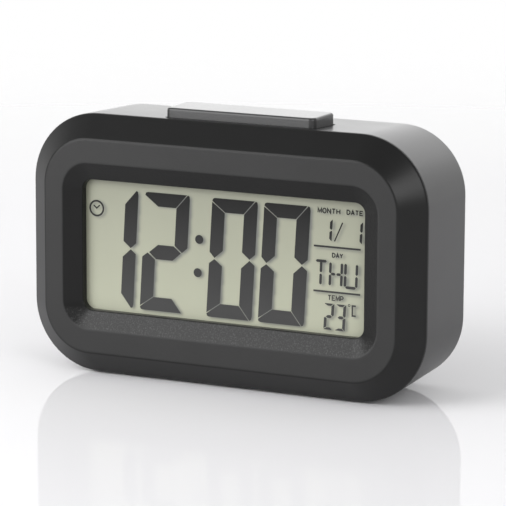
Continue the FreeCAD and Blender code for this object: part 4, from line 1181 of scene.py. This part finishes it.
def digit_segments(width, rise, stroke, bar, corner, skew):
    """The seven outlines of one digit round its left edge's middle, upright, by letter."""
    w, r, t = width, rise, stroke
    left_tip, right_tip = (0.40 * t, -skew), (w - 0.41 * t, skew)
    upper, lower = 0.51 * t, -0.51 * t
    near, far = w - 0.8 * corner, w - 0.2 * corner
    left_nick, right_nick = 0.25 * corner, 0.3 * corner
    inner_left, inner_right = (t, r - bar), (w - t, r - bar)
    floor_left, floor_right = (t, -r + bar), (w - t, -r + bar)
    return {
        "a": [(0, r - corner), (left_nick, r - left_nick), (0.9 * corner, r), (near, r),
              inner_right, inner_left],
        "b": [(near, r), (far, r - right_nick), (w, r - 1.3 * corner), (w, 0.43 * t), right_tip,
              (w - t, upper), inner_right],
        "c": [right_tip, (w, -0.27 * t), (w, -r + 1.3 * corner), (far, -r + right_nick), (near, -r),
              floor_right, (w - t, lower)],
        "d": [(0, -r + corner), floor_left, floor_right, (near, -r), (0.9 * corner, -r),
              (left_nick, -r + left_nick)],
        "e": [left_tip, (t, lower), floor_left, (0, -r + corner), (0, -0.37 * t)],
        "f": [(0, r - corner), inner_left, (t, 0.48 * t), left_tip, (0, 0.36 * t)],
        "g": [(0.47 * t, -skew), (1.13 * t, upper), (w - 1.03 * t, upper), (w - 0.45 * t, skew),
              (w - 1.06 * t, lower), (1.05 * t, lower)],
    }


# %% [markdown]
# A digit is a choice out of the seven segments. All digits lean by the same slant, worked out
# from the height above the digit's middle, so each stays where its left edge is given.

# %% Digits
digit_letters = {"0": "abcdef", "1": "bc", "2": "abged", "3": "abgcd"}


def put_digit(value, left, middle, width, rise, stroke, bar, corner, skew, gap):
    """Adds a digit's segments, slanted: x grows with height above the digit's middle."""
    shapes = digit_segments(width, rise, stroke, bar, corner, skew)
    for letter in digit_letters[value]:
        shape = drawn_in(shapes[letter], gap / 2)
        figures.append(np.stack([left + shape[:, 0] + slant * shape[:, 1], middle + shape[:, 1]], 1))


big = dict(width=15.9, rise=18.9, stroke=4.78, bar=4.6, corner=1.15, skew=0.25, gap=0.26)
for value, left in (("1", -46.55), ("2", -28.55), ("0", -5.2), ("0", 12.6)):
    put_digit(value, left, digit_middle_z, **big)
colon_places = ((-8.57, 46.43), (-9.09, 35.89))
colon_radius = 1.42
for x, z in colon_places:
    figures.append(circle(colon_radius, 28) + [x, z])

small = dict(width=3.4, rise=4.2, stroke=1.12, bar=0.92, corner=0.3, skew=0.0, gap=0.2)
date = dict(width=3.35, rise=3.45, stroke=1.05, bar=0.85, corner=0.3, skew=0.0, gap=0.2)
for value, left, middle, sizes in (("2", 34.05, 26.4, small), ("3", 38.0, 26.4, small),
                                   ("1", 33.35, 53.15, date), ("1", 43.4, 53.1, date)):
    put_digit(value, left, middle, **sizes)
print("segments and dots", len(figures))


# %% [markdown]
# Thin strokes and small captions are polylines. A stroke becomes a strip whose two sides are the
# line moved sideways by half the pen's width, mitred where the line turns.

# %% Strokes and captions
sharpest_turn = 0.35
letter_share = 0.68


def pen(points, width, closed=False):
    """Strip round a polyline.

    Corner offsets are half the width along the bisector, over the half turn's cosine."""
    p = np.asarray(points, float)
    way = np.diff(np.vstack([p, p[:1]]) if closed else p, axis=0)
    way /= np.linalg.norm(way, axis=1)[:, None]
    arriving = np.roll(way, 1, 0) if closed else np.vstack([way[:1], way])
    leaving = way if closed else np.vstack([way, way[-1:]])
    normal = np.stack([-(arriving + leaving)[:, 1], (arriving + leaving)[:, 0]], 1)
    size = np.linalg.norm(normal, axis=1)[:, None]
    half_turn = size / 2
    side = normal / size * (width / 2) / np.maximum(half_turn, sharpest_turn)
    return p + side, p - side


letters = {
    "M": [[(-0.06, 0), (-0.06, 1), (0.5, 0.15), (1.06, 1), (1.06, 0)]],
    "O": [[(0.3, 0), (0.7, 0), (1, 0.3), (1, 0.7), (0.7, 1), (0.3, 1), (0, 0.7), (0, 0.3), (0.3, 0)]],
    "N": [[(0, 0), (0, 1), (1, 0), (1, 1)]],
    "T": [[(0, 1), (1, 1)], [(0.5, 0.95), (0.5, 0)]],
    "H": [[(0, 0), (0, 1)], [(1, 0), (1, 1)], [(0.08, 0.5), (0.92, 0.5)]],
    "D": [[(0, 0), (0, 1), (0.55, 1), (1, 0.7), (1, 0.3), (0.55, 0), (0, 0)]],
    "A": [[(0, 0), (0.5, 1), (1, 0)], [(0.22, 0.32), (0.78, 0.32)]],
    "E": [[(1, 1), (0, 1), (0, 0), (1, 0)], [(0.08, 0.5), (0.8, 0.5)]],
    "Y": [[(0, 1), (0.5, 0.48), (1, 1)], [(0.5, 0.42), (0.5, 0)]],
    "P": [[(0, 0), (0, 1), (0.7, 1), (1, 0.8), (1, 0.6), (0.7, 0.42), (0.08, 0.42)]],
}
strips = []


def caption(word, left, low, high, pitch, pen_width=0.33):
    """Adds a caption whose letters stand at an even pitch between two heights."""
    wide = pitch * letter_share
    for index, letter in enumerate(word):
        for stroke in letters[letter]:
            points = np.array(stroke, float) * [wide, high - low] + [left + index * pitch, low]
            strips.append(pen(points, pen_width))


for word, left, low, high, pitch in (
    ("MONTH", 31.9, 58.35, 59.75, 1.54),
    ("DATE", 41.45, 58.5, 59.8, 1.42),
    ("DAY", 36.75, 44.9, 46.15, 1.27),
    ("TEMP", 35.45, 31.6, 33.0, 1.36),
):
    caption(word, left, low, high, pitch)
date_slash = [(40.05, 55.8), (37.4, 49.85)]
upper_rule = [(30.5, 48.0), (46.1, 48.0)]
lower_rule = [(30.5, 34.1), (46.1, 34.1)]
alarm_hands = [(-45.72, 54.2), (-44.68, 53.32), (-43.56, 54.32)]
degree_c = [(44.7, 30.45), (43.55, 30.45), (43.55, 27.35), (44.7, 27.35)]
for points, width in ((date_slash, 0.42), (upper_rule, 0.56), (lower_rule, 0.56), (alarm_hands, 0.44),
                      (degree_c, 0.50)):
    strips.append(pen(points, width))
alarm_ring = pen(circle(2.36, 40) + [-44.66, 53.29], 0.58, True)
degree_ring = pen(circle(0.32, 16) + [42.47, 30.5], 0.2, True)
closed_strips = [alarm_ring, degree_ring]
print("strokes", len(strips), "rings", len(closed_strips))

# %% [markdown]
# The day's letters are made of straight bars, each half a letter long, as on a display with
# fourteen segments. A letter is a list of bars between places in a square of one by one.

# %% Fourteen-segment letters
left_side = [((0, 1), (0, 0.5)), ((0, 0.5), (0, 0))]
right_side = [((1, 1), (1, 0.5)), ((1, 0.5), (1, 0))]
bar_letters = {
    "T": [((0, 1), (1, 1)), ((0.5, 1), (0.5, 0.5)), ((0.5, 0.5), (0.5, 0))],
    "H": [*left_side, *right_side, ((0, 0.5), (0.5, 0.5)), ((0.5, 0.5), (1, 0.5))],
    "U": [*left_side, *right_side, ((0, 0), (1, 0))],
}
nose_share = 0.45


def bar_shape(start, end, width, trim):
    """Hexagonal bar between two places, trimmed at both ends."""
    start, end = np.array(start, float), np.array(end, float)
    way = (end - start) / np.linalg.norm(end - start)
    side = np.array([-way[1], way[0]]) * width / 2
    a, b = start + way * trim, end - way * trim
    nose = way * width * nose_share
    return np.array([a, a + nose + side, b - nose + side, b, b - nose - side, a + nose - side])


day_low, day_high = 35.95, 43.45
day_rise = day_high - day_low
day_slant = slant * 0.6
bar_width = 0.84
bar_trim = 0.14
for letter, left, wide in (("T", 30.95, 3.95), ("H", 36.05, 3.8), ("U", 41.1, 3.75)):
    for bar in bar_letters[letter]:
        ends = [(left + x * wide + day_slant * (z - 0.5) * day_rise, day_low + z * day_rise) for x, z in bar]
        figures.append(bar_shape(*ends, bar_width, bar_trim))
print("figures", len(figures))


# %% [markdown]
# The film is a fine grid, so that it can carry one number per point: how much of the soft shadow
# of the figures falls there. The figures lie in the crystal layer, a glass thickness in front of
# the reflector, so each throws a faint blurred shadow to one side.

# %% Screen film
film_half = (film_high[0] - film_low[0]) / 2, (film_high[2] - film_low[2]) / 2
film_middle_z = (film_low[2] + film_high[2]) / 2
cell_mm = 0.3
shadow_shift = np.array([0.85, -0.30])
shadow_blur = 0.42
count_x = int(2 * film_half[0] / cell_mm) + 1
count_z = int(2 * film_half[1] / cell_mm) + 1
grid_x = np.linspace(-film_half[0], film_half[0], count_x)
grid_z = np.linspace(film_middle_z - film_half[1], film_middle_z + film_half[1], count_z)

strip_polygons = [np.vstack([a, b[::-1]]) for a, b in strips]
xx, zz = np.meshgrid(grid_x - shadow_shift[0], grid_z - shadow_shift[1])
shade = np.zeros(xx.shape)
for polygon in figures + strip_polygons:
    shade = np.maximum(shade, covered(polygon, xx, zz))
for a, b in closed_strips:
    shade = np.maximum(shade, covered(a, xx, zz) ^ covered(b, xx, zz))


def blurred(field, spread):
    """Field smoothed by a bell curve, first along one way, then the other; spread is in grid steps."""
    reach = int(3 * spread) + 1
    offsets = np.arange(-reach, reach + 1)
    weights = np.exp(-0.5 * (offsets / spread) ** 2)
    weights /= weights.sum()
    for axis in (0, 1):
        field = sum(w * np.roll(field, k, axis) for k, w in zip(offsets, weights))
    return field


shade = blurred(shade, shadow_blur / cell_mm)
flat_x, flat_z = np.meshgrid(grid_x, grid_z)
face_points = np.stack([flat_x.ravel(), np.full(flat_x.size, screen_y), flat_z.ravel()], 1)
i, j = np.meshgrid(np.arange(count_z - 1), np.arange(count_x - 1), indexing="ij")
corner = i * count_x + j
face_quads = np.stack([corner, corner + 1, corner + 1 + count_x, corner + count_x], -1).reshape(-1, 4)
near_side = np.arange(count_x)
right_rim = np.arange(2, count_z + 1) * count_x - 1
far_side = (count_z - 1) * count_x + np.arange(count_x - 1)[::-1]
left_rim = np.arange(count_z - 1)[:0:-1] * count_x
border = np.concatenate([near_side, right_rim, far_side, left_rim])
film_thickness = 0.2
film_back = face_points[border] + [0.0, film_thickness, 0.0]
print("film grid", count_x, "by", count_z)

# %% [markdown]
# The screen is painted darker towards the top and lighter towards the bottom, and its figures fainter
# towards the bottom: painted shade and reflection, as the eye looks down on it. Both follow from the
# height on the clock, so they hold from any side.

# %% Finishes of the screen
film_color = (0.315, 0.323, 0.246)
film_heights = (0.022, 0.062)
# Painted shade at the top of the film and painted reflection at its bottom.
film_shade_and_light_levels = (1.18, 0.80)
shadow_color = (0.10, 0.105, 0.10)
shadow_share = 0.95
film_rise = 0.00004
figure_heights = (0.022, 0.060)
figure_tones = (0.051, 0.004)


def film_material():
    """Reflective screen film: olive grey, with painted figure shadows, painted shade at the top, painted
    reflection below.
    """
    finish, tree, shader, place = start_finish("screen_film", (0.47, 0.49, 0.38), 0.42)
    uneven = effect(tree, mottle, place, Scale=30.0, Amount=0.02)["Factor"]
    level = remap(tree, height_of(tree, place), film_heights, film_shade_and_light_levels)
    base = scaled_color(tree, film_color, calc(tree, "MULTIPLY", uneven, level))
    share = calc(tree, "MULTIPLY", attribute(tree, "shade"), shadow_share)
    tree.links.new(blend(tree, share, base, (*shadow_color, 1.0)), shader.inputs["Base Color"])
    bumped(tree, shader, noise(tree, place, 3500.0, 1.0), 0.04, film_rise)
    return finish


def crystal_material():
    """Dark crystal figures: charcoal, lighter towards the bottom of the screen by a painted reflection."""
    finish, tree, shader, place = start_finish("screen_figures", (0.03, 0.03, 0.03), 0.42, IOR=1.3)
    # Painted reflection: the figures are made lighter towards the bottom of the screen.
    ramp = remap(tree, height_of(tree, place), figure_heights, figure_tones)
    uneven = effect(tree, mottle, place)["Factor"]
    grey_base(tree, shader, calc(tree, "MULTIPLY", ramp, uneven))
    return finish


film_parts = [(face_points, face_quads.tolist()), loft([face_points[border], film_back]), lid(film_back)]
film = make_piece("screen_film", film_parts, film_material(), "root", ["polariser_films"])
film_places = piece_points(film)
column = np.rint((film_places[:, 0] - grid_x[0]) / (grid_x[1] - grid_x[0])).astype(int)
row = np.rint((film_places[:, 2] - grid_z[0]) / (grid_z[1] - grid_z[0])).astype(int)
shade_here = shade[np.clip(row, 0, count_z - 1), np.clip(column, 0, count_x - 1)]
give_attribute(film, "shade", shade_here)

# %% [markdown]
# The figures stand a hair proud of the film, so that they never flicker into it. Strokes that
# cross lie at slightly different levels for the same reason.

# %% Raised figures
figure_proud = 0.03
level_step = 0.002
figure_parts = []


def plate(front, level):
    """Closed thin plate from an outline, standing a little proud of the film."""
    near = standing(front, screen_y - figure_proud - level)
    far = standing(front, screen_y + figure_proud)
    return [loft([near, far]), lid(near), lid(far)]


def strip_plate(a, b, level, closed=False):
    """Closed thin strip between its two sides, as a loft of its small square section."""
    near, far = screen_y - figure_proud - level, screen_y + figure_proud
    section = np.stack([standing(a, near), standing(b, near), standing(b, far), standing(a, far)], 1)
    points, faces = loft(section, closed)
    if not closed:
        last = len(points) - 4
        faces += [[0, 1, 2, 3], [last, last + 1, last + 2, last + 3]]
    return [(points, faces)]


for figure in figures:
    figure_parts += plate(figure, 0.0)
for index, (a, b) in enumerate(strips):
    figure_parts += strip_plate(a, b, level_step * (index % 4 + 1))
for a, b in closed_strips:
    figure_parts += strip_plate(a, b, 0.0, True)
make_piece("screen_figures", figure_parts, crystal_material(), "root")

# %% [markdown]
# The studio is plain: a white glossy table, an even sky, a lit backdrop and a few soft boxes.
# The table fades out towards its rim, so no edge shows against the white behind it.

# %% Floor
floor_color = (0.84, 0.835, 0.85)
floor_fade = (0.25, 0.85)
floor_half = 1.5


def floor_material():
    """White acrylic table: glossy enough to mirror the clock softly, and fading into the white backdrop.

    It is seen from above alone, so that the clock's underside shows from below."""
    finish, tree, shader, place = start_finish("studio_floor", floor_color, 0.035, IOR=1.08)
    uneven = effect(tree, mottle, place, Scale=6.0, Amount=0.01)["Factor"]
    tree.links.new(scaled_color(tree, floor_color, uneven), shader.inputs["Base Color"])
    reach = add(tree, "ShaderNodeVectorMath", [(0, place)], operation="LENGTH").outputs["Value"]
    fade = remap(tree, reach, floor_fade, (1.0, 0.0), interpolation_type="SMOOTHSTEP")
    from_below = add(tree, "ShaderNodeNewGeometry").outputs["Backfacing"]
    seen = calc(tree, "MULTIPLY", fade, calc(tree, "SUBTRACT", 1.0, from_below))
    tree.links.new(seen, shader.inputs["Alpha"])
    return finish


floor_mesh = bpy.data.meshes.new("studio_floor")
floor_corners = [(sx * floor_half, sy * floor_half, 0.0) for sx, sy in ((-1, -1), (1, -1), (1, 1), (-1, 1))]
floor_mesh.from_pydata(floor_corners, [], [[0, 1, 2, 3]])
floor_mesh.materials.append(floor_material())
studio_floor = bpy.data.objects.new("studio_floor", floor_mesh)
bpy.context.scene.collection.objects.link(studio_floor)
print("table", 2 * floor_half, "m wide")

# %% [markdown]
# The sky is white for the camera and for what shines through. Glossy faces mirror a room whose
# ceiling and front are dimmer than its back, which keeps the dark plastic from looking milky.

# %% Sky
ceiling_heights = (0.35, 0.70)
ceiling_levels = (1.0, 0.60)
room_back = (-0.20, 0.98, 0.0)
room_span = (-0.20, 0.75)
room_levels = (0.45, 1.0)
plain_strength = 0.60
world = bpy.data.worlds.new("studio_sky")
bpy.context.scene.world = world
world.use_nodes = True
sky = world.node_tree
sky.nodes.clear()
direction = add(sky, "ShaderNodeTexCoord").outputs["Generated"]


def white_light(strength):
    """White light from the sky."""
    links = [("Color", (1.0, 1.0, 1.0, 1.0)), ("Strength", strength)]
    return add(sky, "ShaderNodeBackground", links).outputs[0]


def either(share, first, second):
    """The first light where the share is zero, the second where it is one."""
    return add(sky, "ShaderNodeMixShader", [(0, share), (1, first), (2, second)]).outputs[0]


ceiling = remap(sky, height_of(sky, direction), ceiling_heights, ceiling_levels,
                interpolation_type="SMOOTHSTEP")
backward = add(sky, "ShaderNodeVectorMath", [(0, direction), (1, room_back)], operation="DOT_PRODUCT")
room = remap(sky, backward.outputs["Value"], room_span, room_levels, interpolation_type="SMOOTHSTEP")
mirrored = white_light(calc(sky, "MULTIPLY", ceiling, room))
path = add(sky, "ShaderNodeLightPath").outputs
glossy = either(path["Is Glossy Ray"], white_light(plain_strength), mirrored)
shown = calc(sky, "MAXIMUM", path["Is Camera Ray"], path["Is Transmission Ray"])
add(sky, "ShaderNodeOutputWorld", [("Surface", either(shown, glossy, white_light(1.0)))])
print("sky nodes", len(sky.nodes))

# %% [markdown]
# Soft boxes make the broad highlights. The key lamp stands at the front left, the fill lamp at
# the front right, and a large one overhead lights the top without being mirrored in it. The
# lamp behind the clock does the opposite: it is mirrored in the table but lights nothing.

# %% Lamps
def soft_box(name, toward, distance, wide, tall, radiance):
    """Rectangular lamp facing the clock: its power is radiance times pi times its area."""
    lamp = bpy.data.lights.new(name, "AREA")
    lamp.shape = "RECTANGLE"
    lamp.size = wide
    lamp.size_y = tall
    lamp.energy = radiance * math.pi * wide * tall
    box = bpy.data.objects.new(name, lamp)
    way = Vector(toward).normalized()
    aim = Vector((0.0, 0.0, middle_z * MM))
    box.location = aim + way * distance
    box.rotation_euler = way.to_track_quat("Z", "Y").to_euler()
    bpy.context.scene.collection.objects.link(box)
    return box


backdrop = soft_box("backdrop_lamp", (-0.30, 0.90, 0.33), 1.8, 2.4, 1.25, 0.97)
backdrop.visible_diffuse = False
soft_box("key_lamp", (-0.55, -0.76, 0.37), 0.9, 0.68, 0.84, 3.65)
soft_box("fill_lamp", (0.75, -0.56, 0.38), 1.3, 0.62, 0.55, 4.6)
overhead = soft_box("overhead_lamp", (-0.45, -0.60, 0.66), 1.6, 1.2, 1.2, 0.8)
overhead.visible_glossy = False
print("lamps", [lamp.name for lamp in bpy.data.lights])

# %% [markdown]
# The camera stands where the photograph's camera stood. Its long focal length keeps the clock's
# edges nearly parallel, and its place is a measured point, so only its turn is worked out.

# %% Camera
camera_place = Vector((0.42269, -0.86211, 0.22672))
camera_yaw = 25.99
camera_pitch = 10.99
camera_roll = -0.26
focal_pixels = 3126.0
picture_pixels = 506.0
sensor_mm = 36.0


def camera_turn(yaw, pitch, roll):
    """Camera axes: forward from yaw and pitch, right level with the floor, then both turned by roll."""
    yaw, pitch, roll = (math.radians(v) for v in (yaw, pitch, roll))
    ahead = Vector((-math.sin(yaw) * math.cos(pitch), math.cos(yaw) * math.cos(pitch), -math.sin(pitch)))
    level = Vector((math.cos(yaw), math.sin(yaw), 0.0))
    down = ahead.cross(level)
    right = math.cos(roll) * level + math.sin(roll) * down
    down = -math.sin(roll) * level + math.cos(roll) * down
    return Matrix((right, -down, -ahead)).transposed()


lens = bpy.data.cameras.new("studio_camera")
lens.sensor_width = sensor_mm
lens.lens = focal_pixels / picture_pixels * sensor_mm
lens.clip_start = 0.05
lens.clip_end = 50.0
camera = bpy.data.objects.new("studio_camera", lens)
facing = camera_turn(camera_yaw, camera_pitch, camera_roll)
camera.matrix_world = Matrix.Translation(camera_place) @ facing.to_4x4()
bpy.context.scene.collection.objects.link(camera)
bpy.context.scene.camera = camera
bpy.context.scene.view_settings.view_transform = "Standard"
print("focal length in mm", round(lens.lens, 1))
